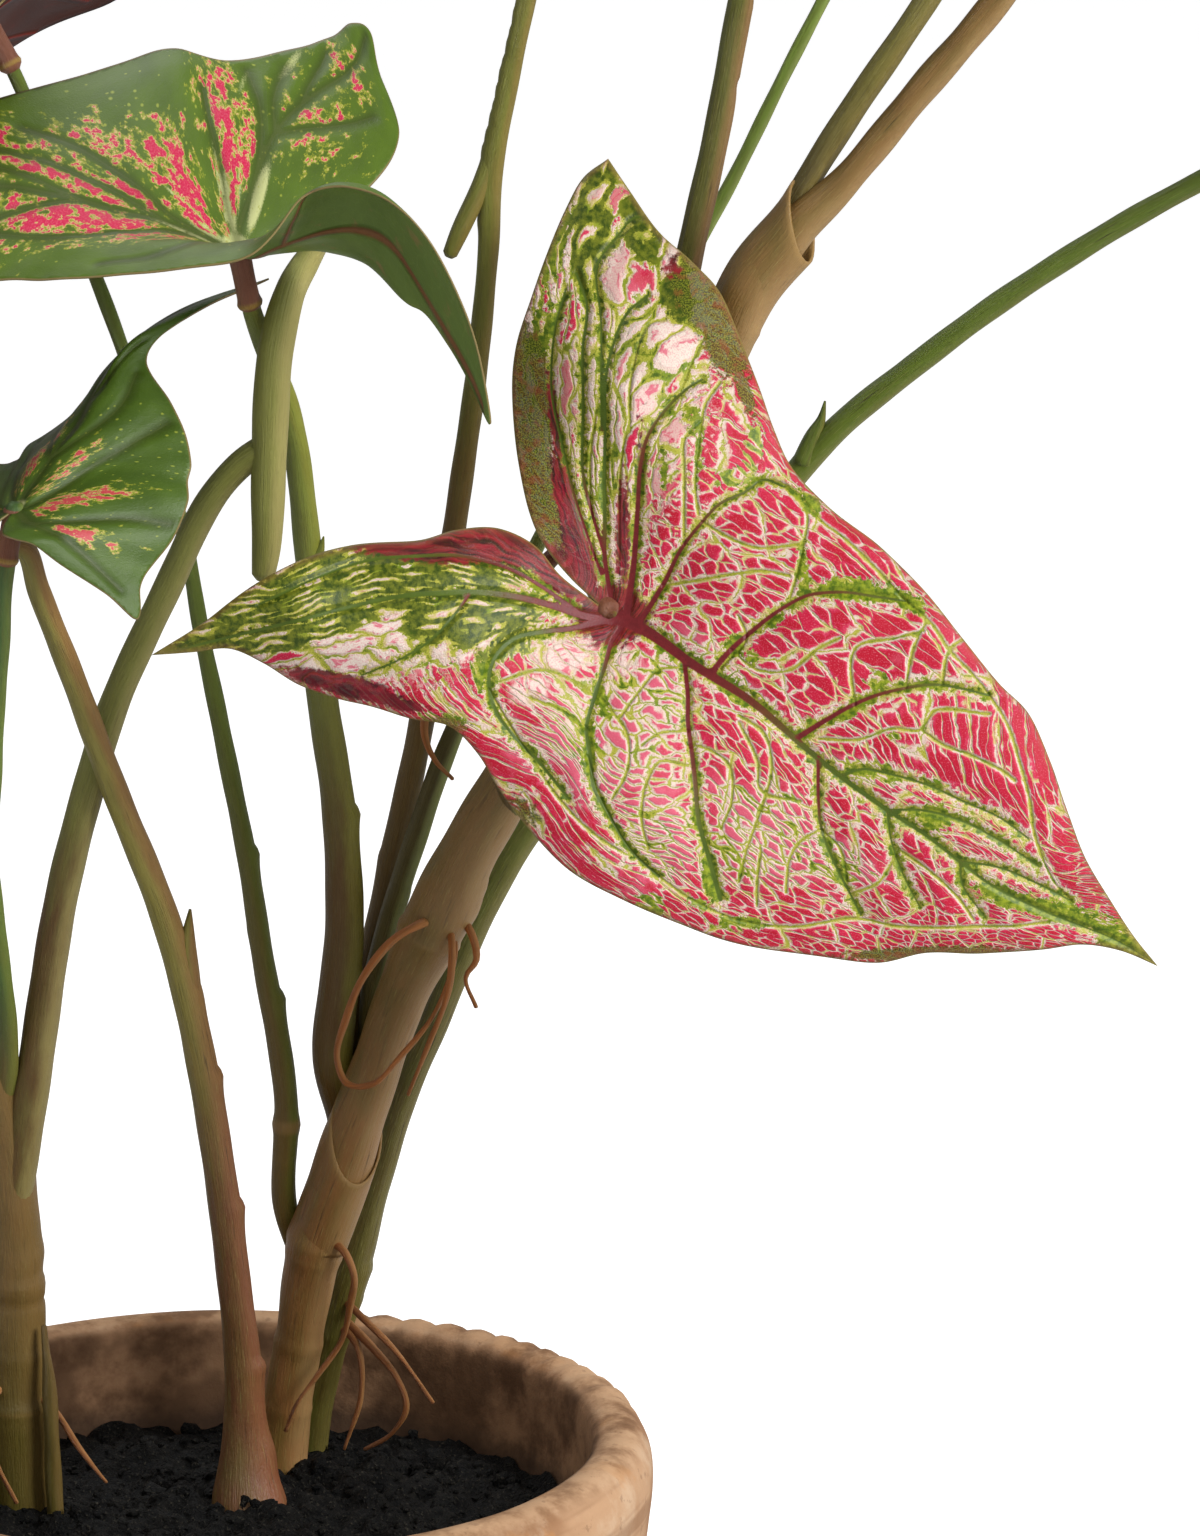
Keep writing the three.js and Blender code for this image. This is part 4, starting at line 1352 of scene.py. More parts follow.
PETIOLE_ROUTES = {
    "front": (rows("""76 24 293 2, 83 20 302 3, 80 4 322 3, 86 -12 358 2.8, 92 -16 378 2.6,
        98 -20 385 2.4, 105 -28 381 2.3, 112 -42 372 2.2"""),),
    "upper_left": (
        rows("""32.5 46 184 3, 33 50 201 5, 30 46 220 6, 34 40 261 5.8, 33 32 299 5, 29 22 334 4.6,
            26 8 378 4, 22 -8 421 3.4, 15 -20 445 2.9, 12 -26 456 2.7, 9 -28 471 2.7"""),
        rows("26 8 374 2.4, 28.6 5.5 379 1.8, 29.8 5 382.5 1, 30.4 5 385 0.3"),
    ),
    "middle_left": (rows("""-65 14 211 3.4, -62 2 238 3.2, -63 -18 275 3, -63 -34 303 2.9,
        -60 -50 332 2.8, -56 -66 367 2.7, -54 -74 388 2.9, -50 -75 408 2.8"""),),
    "corner_left": (rows("""21 53 142 2, 20 56 153 3, 15 52 175 3.6, 16 48 207 3.6, 10 42 252 3.3,
        5 36 289 2.9, -1 33 323 2.7, -6 32 350 2.4, -12 34 384 2.2, -29 40 435 2.1, -46 44 480 2.1,
        -59 46 513 2, -67 47 528 2"""),),
    "low_left": (
        rows("""9 14 66 9, 5 22 92 8.6, 4 24 116 6.2, 3 24 141 5.2, -1 20 182 4.8, -6 14 223 4.6,
            -15 4 270 4.2, -27 -8 308 3.8, -39 -24 349 3.4, -47 -40 378 3.1, -51 -47 392 2.9,
            -64 -56 395 2.8, -80 -66 398 2.7, -96 -78 413 2.6, -122 -97 452 2.4,
            -150 -110 486 2.4"""),
        rows("-9.4 9.2 245 3, -9.9 7.2 256 3.2, -9.7 5 267 2, -8.9 4.6 276 0.3"),
    ),
    "outer_left": (rows("""-72 6 262 4, -82 0 300 3.6, -100 -2 360 3.2, -126 4 420 2.8,
        -160 15 472 2.5, -190 25 495 2.4"""),),
    "back_left": (rows("""-67 18 206 3.6, -79 28 256 3.4, -95 46 316 3, -115 72 376 2.7,
        -140 98 424 2.4, -150 112 440 2.4"""),),
    "top_back": (
        rows("""34 46 184 2, 36 56 202 3.4, 35 54 227 4, 42 52 252 4.2, 48 50 280 4, 56 48 318 3.8,
            62 46 353 3.6, 68 45 388 3.4, 74 44 432 3.1, 77 43 462 3, 78 43 486 3.3, 82 43 505 2.9,
            88 44 533 2.6, 96 52 567 2.4, 102 66 610 2.3, 103 84 654 2.2, 99 97 684 2.2"""),
        rows("66 40 461 2.2, 69 40 468 2.6, 75 42 481 2.8, 78 43 489 2.6"),
    ),
    "top_front": (rows("""94 19.5 322 2.4, 102 22 334 3.6, 109 26 351 4, 121 30 397 4.1,
        135 34 463 4, 143 36 500 3.8, 149 38 534 3.6, 156 36 578 3.2, 160 31 632 2.8,
        158 25 685 2.5, 152 18 722 2.4"""),),
    "top_slim": (rows("""39 43 204 2.2, 40 50 219 3, 42 46 241 3.4, 50 42 273 3.4, 56 42 291 3.3,
        66 44 319 3, 92 50 377 2.3, 121 54 431 2.1, 147 56 480 2, 172 58 530 1.9, 194 62 572 1.9,
        212 68 622 1.8, 222 76 665 1.8, 223 79 690 1.8"""),),
    "top_fork": (rows("""158 12 468 3.2, 166 14 483 3.6, 180 18 505 3.7, 201 24 535 3.4,
        222 38 566 3.2, 244 64 598 2.9, 258 86 618 2.6, 268 100 628 2.4"""),),
    "right": (
        rows("""18 76 62 6, 21 76 93 5.4, 27 74 123 5.2, 34 72 151 6.4, 41 70 175 5, 49 68 202 5,
            58 66 224 5, 70 64 254 5, 85 62 283 4.9, 103 60 309 4.7, 130 56 345 4.3, 153 52 378 3.9,
            176 48 407 3.7, 201 44 429 3.4, 241 38 459 3.2, 280 32 483 3, 321 24 506 2.8,
            358 12 524 2.6, 392 0 530 2.4"""),
        rows("168 48 399 3.2, 171 47.5 407 2.4, 173 47 412 1.2, 174 47 417 0.3"),
    ),
    "sheathed": (
        rows("""-64 18 176 5.2, -56 10 221 5.2, -46 2 279 4.8, -38 -3 310 4.6, -29 -8 339 4.3,
            -13 -17 374 4.1, 0 -26 401 4, 9 -30 412 3.9, 17 -32 418 3.8"""),
        rows("""15 -32 381 3.2, 16 -32 390 4.2, 17 -32 416 5, 19 -31 444 5, 23 -28 460 4.4,
            27 -20 467 3.8, 30 -8 470 2.8, 31 6 472 1.4"""),
    ),
}

ROOT_ROUTES = {
    "node_loop": rows("""62 32 266, 57 20 268, 49 17 264, 40 17 252, 35 20 239, 32 24 227,
        35 20 220, 43 16 221, 51 16 229, 60 18 240, 65 21 251, 67 24 260, 65 32 266"""),
    "node_fork": rows("64 32 267, 66 20 262, 65 16 249, 59 18 232, 53 22 216"),
    "node_short": rows("65 34 268, 71 24 265, 73 21 257, 70 20 252, 73 24 242"),
    "upper": rows("59 46 332, 58 37 320, 61 36 313, 66 38 307"),
    "low_wrap": rows("""27 48 165, 33 40 163, 36 38 156, 35 40 147, 32 44 134, 25 43 124, 19 42 116,
        15 44 106"""),
    "fan_long": rows("32 70 139, 38 60 136, 48 55 127, 59 50 113"),
    "fan_loop": rows("31 72 133, 40 62 127, 48 56 119, 51 54 110, 46 56 101, 38 60 95"),
    "fan_short": rows("29 72 132, 36 64 126, 37 60 112, 32 60 95"),
    "left_long": rows("-61 22 127, -52 16 122, -44 10 112, -36 8 102"),
    "left_outer": rows("-65 20 130, -71 8 124, -68 4 110, -62 4 97"),
}

FRONT_DEPTHS = rows("""0 0 -42, 52 -30 -62, 96 -64 -70, 152 -96 -62, -3 58 -28, -1 118 30,
    -28 55 -8, -19 92 8, 36 73 -14, 24 37 -40, 50 40 -34, 86 9 -52, 115 -24 -62, 131 -64 -66,
    -3 -46 -72, -31 -45 -66, 19 -82 -70, 74 -94 -66, 35 -21 -58, 57 6 -52, -43 2 -62, -86 3 -66,
    -127 -8 -60, -43 24 -44, -72 21 -50, -86 -17 -58, -56 -25 -64""")

UPPER_LEFT_HANDLES = rows("""0 0 9 -28 471, 0 46 -21 -34 484, 0 91 -56 -42 492, 0 132 -85 -50 485,
    0 165 -114 -56 462, -79 -20 28 -70 492, -87 -41 45 -74 495, -91 -63 65 -80 479,
    -89 -73 75 -76 455, -87 -82 79 -72 432, -69 0 16 -74 478, -63 16 1 -74 474, -59 36 -18 -72 472,
    -46 79 -54 -70 470, -25 122 -84 -66 467, -45 -41 37 -52 480, -66 -63 56 -62 475,
    -20 -45 36 -40 473, -33 -56 46 -50 471, -50 -64 57 -60 462, -69 -73 68 -68 451,
    20 -45 38 -6 481, 33 -56 48 8 489, 50 -64 52 22 499, 69 -73 47 38 511, 87 -82 43 52 523,
    87 -41 32 50 522, 79 -20 19 42 519, 69 0 2 34 517, 59 25 -10 30 520, 54 58 -38 22 514,
    46 79 -60 14 509, 25 122 -89 -8 497, -36 16 -3 -54 478, 36 8 1 2 499""")

MIDDLE_LEFT_HANDLES = rows("""0 0 -50 -75 408, 0 30 -41 -60 420, 0 62 -31 -44 433, 0 90 -19 -28 448,
    0 108 -3 -15 455, 0 125 16 -6 461, 45 28 -3 -58 417, 41 44 -5 -52 424, 35 60 -10 -44 433,
    28 78 -16 -34 441, 15 100 -9 -24 450, 52 0 -4 -66 408, 60 -15 -8 -72 398, 66 -31 -14 -76 391,
    69 -48 -16 -80 386, 66 -62 -17 -84 379, 52 -55 -25 -86 386, 38 -49 -37 -90 395,
    25 -42 -44 -92 401, 12 -30 -52 -90 403, -45 28 -50 -25 417, -52 0 -55 -34 413,
    -41 44 -44 -18 420, -35 60 -35 -12 427, -19 92 -20 -10 444, -66 -31 -74 -34 411,
    -66 -62 -91 -40 398, -25 -42 -63 -70 401, 25 12 -27 -62 415""")

FRONT_SPANS = (
    rows("-3 2, -12 11, -21 23, -26 39, -28 55, -27 69, -23 81, -19 92, -13 105, -8 113, -1 118"),
    rows("""-1 118, 5 110, 14 99, 23 92, 30 85, 36 73, 41 61, 45 50, 50 40, 60 30, 74 20, 86 9,
        97 -4, 107 -16, 115 -24, 121 -37, 126 -51, 131 -64, 138 -76, 145 -87, 152 -96"""),
    rows("""152 -96, 141 -91, 131 -89, 119 -90, 102 -91, 87 -91, 74 -94, 58 -92, 35 -88, 19 -82,
        2 -74, -12 -66, -23 -55, -31 -45, -37 -35, -45 -27, -56 -25, -67 -22, -77 -20, -86 -17,
        -96 -10, -105 -6, -115 -7, -127 -8"""),
    rows("-127 -8, -113 1, -100 11, -86 18, -72 21, -53 22, -43 24, -31 24, -21 19, -14 11, -3 2"),
)
FRONT_JOINT = (112.3, 371.9)

FRONT_VEINS = veins_of("""
    1.9 0.1 52 0 0: 2 -1, 11 -5, 22 -12, 38 -21, 54 -34, 63 -41, 76 -50, 87 -57, 96 -64, 105 -71,
    118 -78, 129 -83, 140 -88, 151 -95
    / 1 0.3 42 3 1: 4 -2, 7 -2, 14 8, 19 18, 25 26, 30 31, 37 34, 42 37, 48 35
    / 0.95 0.3 46 31 1: 27 -15, 33 -8, 41 -1, 48 4, 54 7, 64 8, 73 7, 81 6
    / 0.9 0.3 34 60 1: 51 -31, 59 -26, 66 -22, 73 -19, 81 -17, 89 -16, 96 -17, 104 -19
    / 0.4 0.25 0 76 1: 63 -41, 69 -39, 76 -40, 87 -43, 96 -47, 107 -52, 115 -58
    / 0.4 0.25 0 91 1: 76 -50, 86 -50, 97 -53, 108 -59, 118 -66
    / 0.4 0.25 0 115 1: 96 -64, 107 -66, 118 -71, 127 -76
    / 0.75 0.4 12 3 -1: 3 -3, 0 -7, -2 -13, -5 -21, -7 -28, -6 -35, -5 -43, -1 -50, 5 -60, 13 -68
    / 0.65 0.65 34 24 -1: 20 -11, 21 -20, 21 -27, 22 -34, 23 -43, 24 -53, 27 -64, 30 -75
    / 0.6 0.3 16 67 -1: 57 -36, 57 -47, 58 -56, 62 -66, 66 -74, 69 -80
    / 0.35 0.2 0 91 -1: 76 -50, 77 -58, 80 -67, 85 -77
    / 0.35 0.2 0 115 -1: 96 -64, 97 -71, 103 -80
    / 1.2 0.3 30 -34 -1: 0 -2, -8 0, -18 4, -28 7, -39 9, -50 9, -61 8, -72 6, -86 3, -100 -1,
    -114 -5, -125 -8
    / 0.6 0.3 40 -50 -1: -8 0, -20 9, -31 15, -43 18, -56 18, -69 17, -83 13, -97 7
    / 0.9 0.4 14 -12 -1: -3 -2, -11 -3, -19 -3, -27 -4, -32 -8, -34 -14, -32 -23, -27 -30, -20 -37,
    -12 -46
    / 0.5 0.25 4: -39 9, -43 4, -50 -3, -58 -8, -69 -13
    / 1.25 0.35 54 -16 1: 4 -1, 6 13, 7 27, 8 41, 10 49, 15 56, 21 61, 25 63
    / 0.8 0.35 20 -30 1: 0 2, -2 16, -2 24, -2 50, -1 67, 4 79, 10 84
    / 0.5 0.4 20 -38 1: -2 16, -5 26, -8 38, -8 56, -8 70, -7 81, -10 89
    / 0.45 0.3 24 -48 1: -3 11, -10 31, -14 46, -17 60, -16 74, -13 85
    / 0.35 0.3 0: -3 50, -3 77, -4 91, 2 99, 6 103, 10 103, 13 98
    / 41 37, 49 35, 58 26, 64 22, 74 13, 81 6, 88 0, 93 -7, 100 -14, 104 -19, 109 -27, 112 -36,
    115 -47, 117 -58, 122 -70, 127 -76 / -7 -35, -3 -46, 5 -60, 13 -68, 24 -76, 35 -81, 49 -83,
    66 -81, 80 -83, 94 -83, 107 -83, 121 -82 / -34 -17, -25 -32, -14 -47, -3 -57, 5 -62 / 48 35,
    54 28, 53 20, 51 12, 49 6 / 24 28, 23 36, 24 47, 26 57, 30 62 / 20 20, 20 28, 20 39, 20 48,
    24 52 / 5 50, 5 61, 8 73, 11 77, 15 78 / 14 57, 19 61, 22 67, 25 72 / 21 -33, 24 -33, 32 -38,
    33 -47, 30 -55 / 35 -27, 40 -37, 41 -45, 52 -48 / 21 -38, 13 -37, 9 -43, 8 -52, 10 -60 / 21 -29,
    13 -30, 8 -33 / 57 -56, 52 -59, 49 -64, 48 -73 / 58 -56, 63 -61, 65 -70 / 67 -22, 66 -10, 68 -6,
    78 -4, 86 -2 / 81 -17, 83 -7, 87 1 / 91 -16, 93 -7, 97 -4 / 85 -28, 91 -32, 99 -35, 107 -39,
    111 -42 / 57 -31, 68 -31, 77 -28, 85 -28, 89 -23, 104 -24 / 30 -13, 37 -5, 35 1 / 14 8, 24 10,
    34 12, 42 13, 49 12 / 25 26, 34 21, 41 19, 52 20 / 33 -8, 40 -13, 49 -13, 57 -7, 63 -4 / 66 -74,
    74 -70, 79 -61 / 35 -25, 42 -30, 44 -39, 41 -50, 37 -61, 35 -70 / 79 -61, 88 -67, 96 -75,
    100 -81 / 41 -61, 40 -70, 40 -77 / -5 15, -6 31, -6 44, -4 58 / 2 15, 2 31, 3 45, 5 53
    / -23 -20, -14 -24, -7 -28 / -31 -15, -20 -13, -6 -19 / 2 -26, 8 -19, 13 -14, 21 -13 / -3 -21,
    4 -30, 4 -39, 0 -46
""")

FRONT_AREAS = (
    Area(Tint.LOBE, rows("0 80 26 50 0 1.3, -80 6 52 20 0 1.3, 8 50 8 30 0 0.9")),
    Area(Tint.WINE, rows("""-31 20 20.5 4.1 -16 1.3, -14 11 13.2 3.5 -35 1.3,
        -74 -16 18.1 3.5 -14 1.1, -58 -21 8.8 2.3 -10 0.9, -9 15 3.5 17.5 15 1.2,
        -13 31 2.9 13.2 14 1, -16 51 1.8 16.1 8 0.8, 17 91 4.1 5.3 0 0.62, 8 45 2.9 17.5 0 0.55,
        0 0 9.5 7.5 0 1.3, -52 20 26 3.6 -6 1, 3 22 2.6 22 0 0.8""")),
    # The first three olive ovals, on the upper lobe's left margin, are partly painted shade where
    # the lobe turns away
    Area(Tint.OLIVE, rows("""-23 53 5.8 20.5 4 1.4, -20 33 4.7 17.5 10 1.4, -16 18 4.1 14.6 22 1.2,
        26 83 7 11.7 38 1.3, 32 72 6.4 9.9 30 1.1, 34 68 5.3 6.4 30 0.9, 37 59 2.3 7.6 20 0.9,
        88 -91 23.4 2 2 1.2, -45 -26 7.6 2.3 -10 0.8, -24 -50 4.1 7.6 40 0.7""")),
    Area(Tint.GREEN, rows("""-58 14 35.1 9.9 4 1.4, -91 4 32.2 8.8 14 1.4, -39 2 20.5 7.6 0 1.1,
        -114 -4 14.6 4.1 8 1.5, -6 100 9 20 -8 0.8, 8 100 7 15 20 0.75, -12 72 5 26.3 -4 0.5,
        2 78 5.3 20.5 0 0.3, -6 112 7 9 -10 1.2, 18 83 4.1 6.4 0 1.3, 22 56 6 9 0 0.4,
        -31 -4 14.6 7.6 0 0.75, -3 15 4.1 17.5 0 0.5""")),
    Area(Tint.LEAFGREEN, rows("""39 44 2.6 7.6 -10 1.2, 34 38 5.8 2.3 15 1, 66 9 7.6 2.9 -4 1.2,
        74 8 5.8 2 -4 1, 34 -7 2.6 3.5 0 0.9, 39 -10 2 2.6 0 0.9, 73 -15 2.9 2.3 0 1.2,
        65 -24 2.6 1.8 25 1.1, 78 -30 2.3 1.8 0 0.8, 89 -52 4.1 3.2 0 1.3, 110 -75 11.1 2.6 -18 1.1,
        127 -80 14.6 2.9 -16 1.2, 144 -90 9.9 4.1 -38 1.6, 11 -76 4.1 3.5 -30 1.1,
        35 -82 7.6 2.3 -6 0.95, 27 -69 1.8 7 10 1.1, -6 -34 1.5 8.8 0 1, -3 -21 1.8 5.8 20 0.9,
        -47 -25 6.4 2.3 -12 1, 18 84 3.8 4.1 0 1.3, 14 40 1.8 7.6 0 0.7, 22 53 3.5 4.1 0 0.8,
        8 1 1.8 4.1 -20 0.7, 24 44 1.5 11.7 -5 0.7, 81 6 7.6 2.6 -30 0.9, 55 32 3.5 5.3 20 0.8,
        8 109 4.1 5.8 0 0.9, -122 -7 7.6 1.8 4 1.4, 53 12 2 8.8 0 0.85, -37 -12 2.9 6.4 0 0.9,
        45 0 4.1 2 25 0.8, 24 -76 4.7 2.3 -20 0.7, 55 -26 2.3 2.3 0 0.7, -20 74 3.5 8.8 -10 0.9,
        -16 95 3.5 11.7 -14 0.9""")),
    Area(Tint.WHITE, rows("""-64 13 32.2 7.6 4 1.5, -45 4 20.5 6.4 0 1.4, -20 5 11.7 4.7 -10 0.8,
        -90 4 17.5 4.1 14 1.2, 0 92 4 12 0 0.6, -7 70 4 14 0 0.7, 0 66 2.2 12 0 0.6,
        -6 52 3.5 14 0 0.5, 0 26 2.6 17.5 0 1, -8 8 2.9 6.4 20 1.1, -14 -8 9.9 7 0 0.95,
        -23 -18 7 5.3 0 0.8, 2 -12 7.6 4.7 0 0.9, -43 -6 7 4.1 0 0.8""")),
    Area(Tint.PALE, rows("""-3 -31 17.5 14.6 0 0.9, 13 -19 9.9 9.9 0 0.9, 12 -55 11.7 17.5 0 0.75,
        41 -58 17.5 14.6 0 0.75, 63 -67 14.6 8.8 0 0.6, -23 -32 7.6 7.6 0 0.6, 8 71 7.6 17.5 0 0.7,
        -3 39 5.8 20.5 0 0.7, 34 -18 11.7 4.1 -30 0.8, 68 -39 14.6 3.5 -10 0.7,
        22 -7 7.6 4.7 -20 0.7, 32 -47 8.8 8.8 0 0.6, 79 -10 5.8 2.3 0 0.4""")),
    Area(Tint.DENSE, rows("""80 -7 26.3 11.7 0 0.9, 96 -31 17.5 17.5 0 1, 36 50 11.7 17.5 0 0.9,
        66 24 17.5 11.7 -30 0.8, 110 -42 8.8 23.4 10 1, 91 -70 26.3 9.9 -10 0.8,
        -14 -47 8.8 14.6 30 0.9, 2 -66 14.6 5.8 -20 0.8, 52 -5 14.6 8.8 15 0.8,
        -31 -34 7 8.8 30 0.8, 46 -84 17.5 3.5 -4 0.7, 8 51 2.9 11.7 0 0.8,
        124 -64 4.7 14.6 18 0.7""")),
)

HALF_BLADE = rows("""0 -0.03, 0.02 -0.1, 0.06 -0.19, 0.12 -0.27, 0.2 -0.34, 0.3 -0.39, 0.42 -0.44,
    0.53 -0.5, 0.55 -0.38, 0.53 -0.25, 0.48 -0.12, 0.42 0, 0.38 0.1, 0.36 0.22, 0.33 0.35,
    0.28 0.48, 0.22 0.62, 0.15 0.74, 0.08 0.86, 0.03 0.95, 0 1""")

UPPER_LEFT_VEINS = veins_of("""
    1 0.4 0 0 0: 0 0, -1 30, -2 60, -1 90, 0 130, 0 162
    / 0.7 0.3 0 5 1: 0 2, 2 20, 5 32, 10 40, 17 52, 22 60, 30 76
    / 0.6 0.3 0 2 1: 1 0, 15 4, 28 6, 39 10, 50 14
    / 0.9 0.35 0 -30 1: 1 0, 10 0, 25 -7, 45 -16, 58 -25, 67 -36, 78 -58, 85 -76
    / 0.5 0.3 0 40 1: -1 30, 10 60, 16 80, 20 100
    / 0.5 0.3 0 70 1: -2 62, 8 90, 14 110, 18 120
    / 0.7 0.3 0 3 -1: -1 1, -18 4, -36 12, -47 28, -48 46
    / 0.6 0.3 0 24 -1: -1 18, -12 36, -22 54, -24 74, -20 90
    / 0.5 0.3 0 70 -1: -2 62, -10 80, -16 100, -16 120
    / 1.3 0.5 200 -30 -1: 0 -1, -14 -8, -30 -21, -43 -36, -56 -51, -68 -67, -84 -80
    / 0.5 0.3 60: -30 -21, -48 -20, -66 -20, -80 -24
    / 0.45 0.3 0: 25 -7, 40 -11, 55 -11, 68 -8
    / 0.4 0.25 0: 45 -16, 58 -16, 72 -20
    / 0.4 0.25 0: 45 -16, 49 -28, 51 -42, 54 -52
    / 0.35 0.25 0: 58 -25, 66 -28, 80 -36
""")
UPPER_LEFT_AREAS = (
    Area(Tint.BLOTCH, rows("""-12 62 22 60 0 0.9, 8 64 12 54 -10 0.85, 14 22 9 24 -55 1,
        32 3 28 7 -2 1, 6 42 8 22 -20 0.95, 26 32 14 14 0 0.85, 38 -5 24 8 -10 0.8,
        52 -30 26 20 0 0.68, 24 54 14 26 0 0.75, -40 -10 24 14 0 0.5, 50 8 20 14 0 0.78,
        22 90 14 40 0 0.7, 72 -46 14 16 0 0.78, 60 2 12 8 0 0.8""")),
    Area(Tint.SPECK, rows("30 50 30 40 0 1, 50 -10 40 30 0 0.9, 0 60 60 60 0 0.5")),
    # Pale: white streaks fanning from the joint, and two ovals of painted sheen at 74 -22 and 62 -6
    # on the right half
    Area(Tint.PALE, rows("""1 1 8 7 0 1.1, 18 3 16 3 5 0.7, 4 14 3 12 -10 0.65, 22 -9 16 3 -20 0.8,
        74 -22 14 3 -30 0.55, 62 -6 14 2 -20 0.5, 9 20 1.6 18 -24 0.75, -2 22 1.6 20 0 0.75,
        22 7 18 1.4 10 0.7, -9 10 1.6 14 40 0.7, 30 -2 20 1.4 -6 0.65""")),
)

MIDDLE_LEFT_VEINS = veins_of("""
    0.8 0.3 0 0 0: 0 0, 0 28, -1 60, -3 86, 0 122
    / 0.6 0.3 0 4 1: 1 0, 7 -2, 15 6, 21 22, 28 38, 35 48
    / 0.6 0.3 0 -12 1: 1 0, 10 -10, 20 -19, 34 -17, 43 -13, 54 -10
    / 0.7 0.3 0 -30 1: 1 -1, 13 -15, 26 -26, 34 -32, 43 -38, 58 -50
    / 0.5 0.3 0 30 1: 0 28, 12 44, 20 58, 24 72
    / 0.4 0.25 0 62 1: -1 60, 8 74, 12 88
    / 0.5 0.3 0 4 -1: -1 0, -15 8, -28 20, -38 34
    / 0.5 0.3 0 30 -1: 0 28, -14 42, -24 56
    / 0.7 0.3 0 -30 -1: -1 -1, -14 -15, -30 -28, -48 -44, -60 -56
""")
MIDDLE_LEFT_AREAS = (
    Area(Tint.BLOTCH, rows("""24 -4 16 7 20 0.95, 34 -26 16 6 -35 0.9, 12 22 5 18 -15 0.8,
        8 8 8 6 0 0.7, -10 30 7 26 0 0.9, 46 -26 10 8 0 0.6""")),
    Area(Tint.SPECK, rows("24 30 30 40 0 1, 40 -10 20 20 0 0.7")),
    Area(Tint.PALE, rows("0 0 5 5 0 0.9")),
)


def arrow_spans(length: float) -> list:
    """The outline of an arrow-shaped blade, one span for each half."""
    right = [(u * length, v * length) for u, v in HALF_BLADE]
    left = [(-u, v) for u, v in reversed(right)]
    return [right, left]


def arrow_veins(length: float) -> list[Vein]:
    """The veins of an arrow-shaped blade: a midrib, side veins and a rib in each lobe."""
    veins = [Vein(((0, 0), (0, 0.5 * length), (0, 0.98 * length)), 1.1, 0.35, 0.4 * length, 0, 0)]
    ends = rows("0.45 -0.03, 0.37 0.22, 0.31 0.46, 0.21 0.68, 0.11 0.85")
    roots = (0.02, 0.2, 0.38, 0.56, 0.74)
    for side in (1, -1):
        for (u, v), root in zip(ends, roots):
            middle = (0.55 * u * side, root + 0.3 * (v - root) + 0.05)
            path = [(0, root), middle, (u * side, v)]
            scaled = [(a * length, b * length) for a, b in path]
            veins.append(Vein(scaled, 0.7, 0.3, 0.2 * length, root * length, side))
        rib = rows("0.02 -0.02, 0.1 -0.13, 0.24 -0.27, 0.38 -0.38, 0.5 -0.46")
        scaled = [(a * side * length, b * length) for a, b in rib]
        veins.append(Vein(scaled, 0.9, 0.35, 0.3 * length, -0.25 * length, side))
        forks = (
            rows("0.1 -0.13, 0.28 -0.12, 0.44 -0.16"), rows("0.24 -0.27, 0.4 -0.25, 0.52 -0.3"),
        )
        for path in forks:
            scaled = [(a * side * length, b * length) for a, b in path]
            veins.append(Vein(scaled, 0.45, 0.25, 0.1 * length))
    return veins


def pink_areas(length: float) -> list[Area]:
    """The colours of a pink blade of a given length."""
    unit = {
        Tint.LOBE: rows("0.35 -0.28 0.22 0.16 -30 1.2, -0.35 -0.28 0.22 0.16 30 1.2"),
        Tint.DENSE: rows("0.2 0.3 0.16 0.4 10 1, -0.2 0.3 0.16 0.4 -10 1"),
        Tint.PALE: rows("0.08 0.2 0.08 0.3 0 0.7, -0.08 0.2 0.08 0.3 0 0.7"),
        Tint.WINE: rows("""0 0 0.06 0.06 0 1.2, 0.45 -0.4 0.05 0.12 -30 0.9,
            -0.45 -0.4 0.05 0.12 30 0.9"""),
        Tint.GREEN: rows("""0.4 -0.3 0.16 0.16 0 0.9, -0.4 -0.3 0.16 0.16 0 0.9,
            0 0.95 0.08 0.12 0 1.3"""),
        Tint.LEAFGREEN: rows("""0 0.93 0.05 0.1 0 1.3, 0.3 0.45 0.05 0.05 0 0.8,
            -0.35 0.2 0.05 0.06 0 0.8"""),
    }
    return [scaled_area(tint, value, length) for tint, value in unit.items()]


def green_areas(length: float) -> list[Area]:
    """The blotches and specks of a green blade of a given length."""
    unit = {
        Tint.BLOTCH: rows("""0.12 0.25 0.1 0.3 8 0.9, -0.12 0.3 0.1 0.3 -8 0.9,
            0.25 -0.15 0.14 0.08 -30 0.7, -0.25 -0.15 0.14 0.08 30 0.7"""),
        Tint.SPECK: rows("0 0.3 0.4 0.6 0 0.9"),
        Tint.PALE: rows("0 0 0.05 0.05 0 1"),
    }
    return [scaled_area(tint, value, length) for tint, value in unit.items()]


def scaled_area(tint: Tint, ovals: Sequence, length: float) -> Area:
    """An area whose ovals are given for a blade of length 1."""
    scale = (length, length, length, length, 1.0, 1.0)
    return Area(tint, [tuple(map(operator.mul, oval, scale)) for oval in ovals])


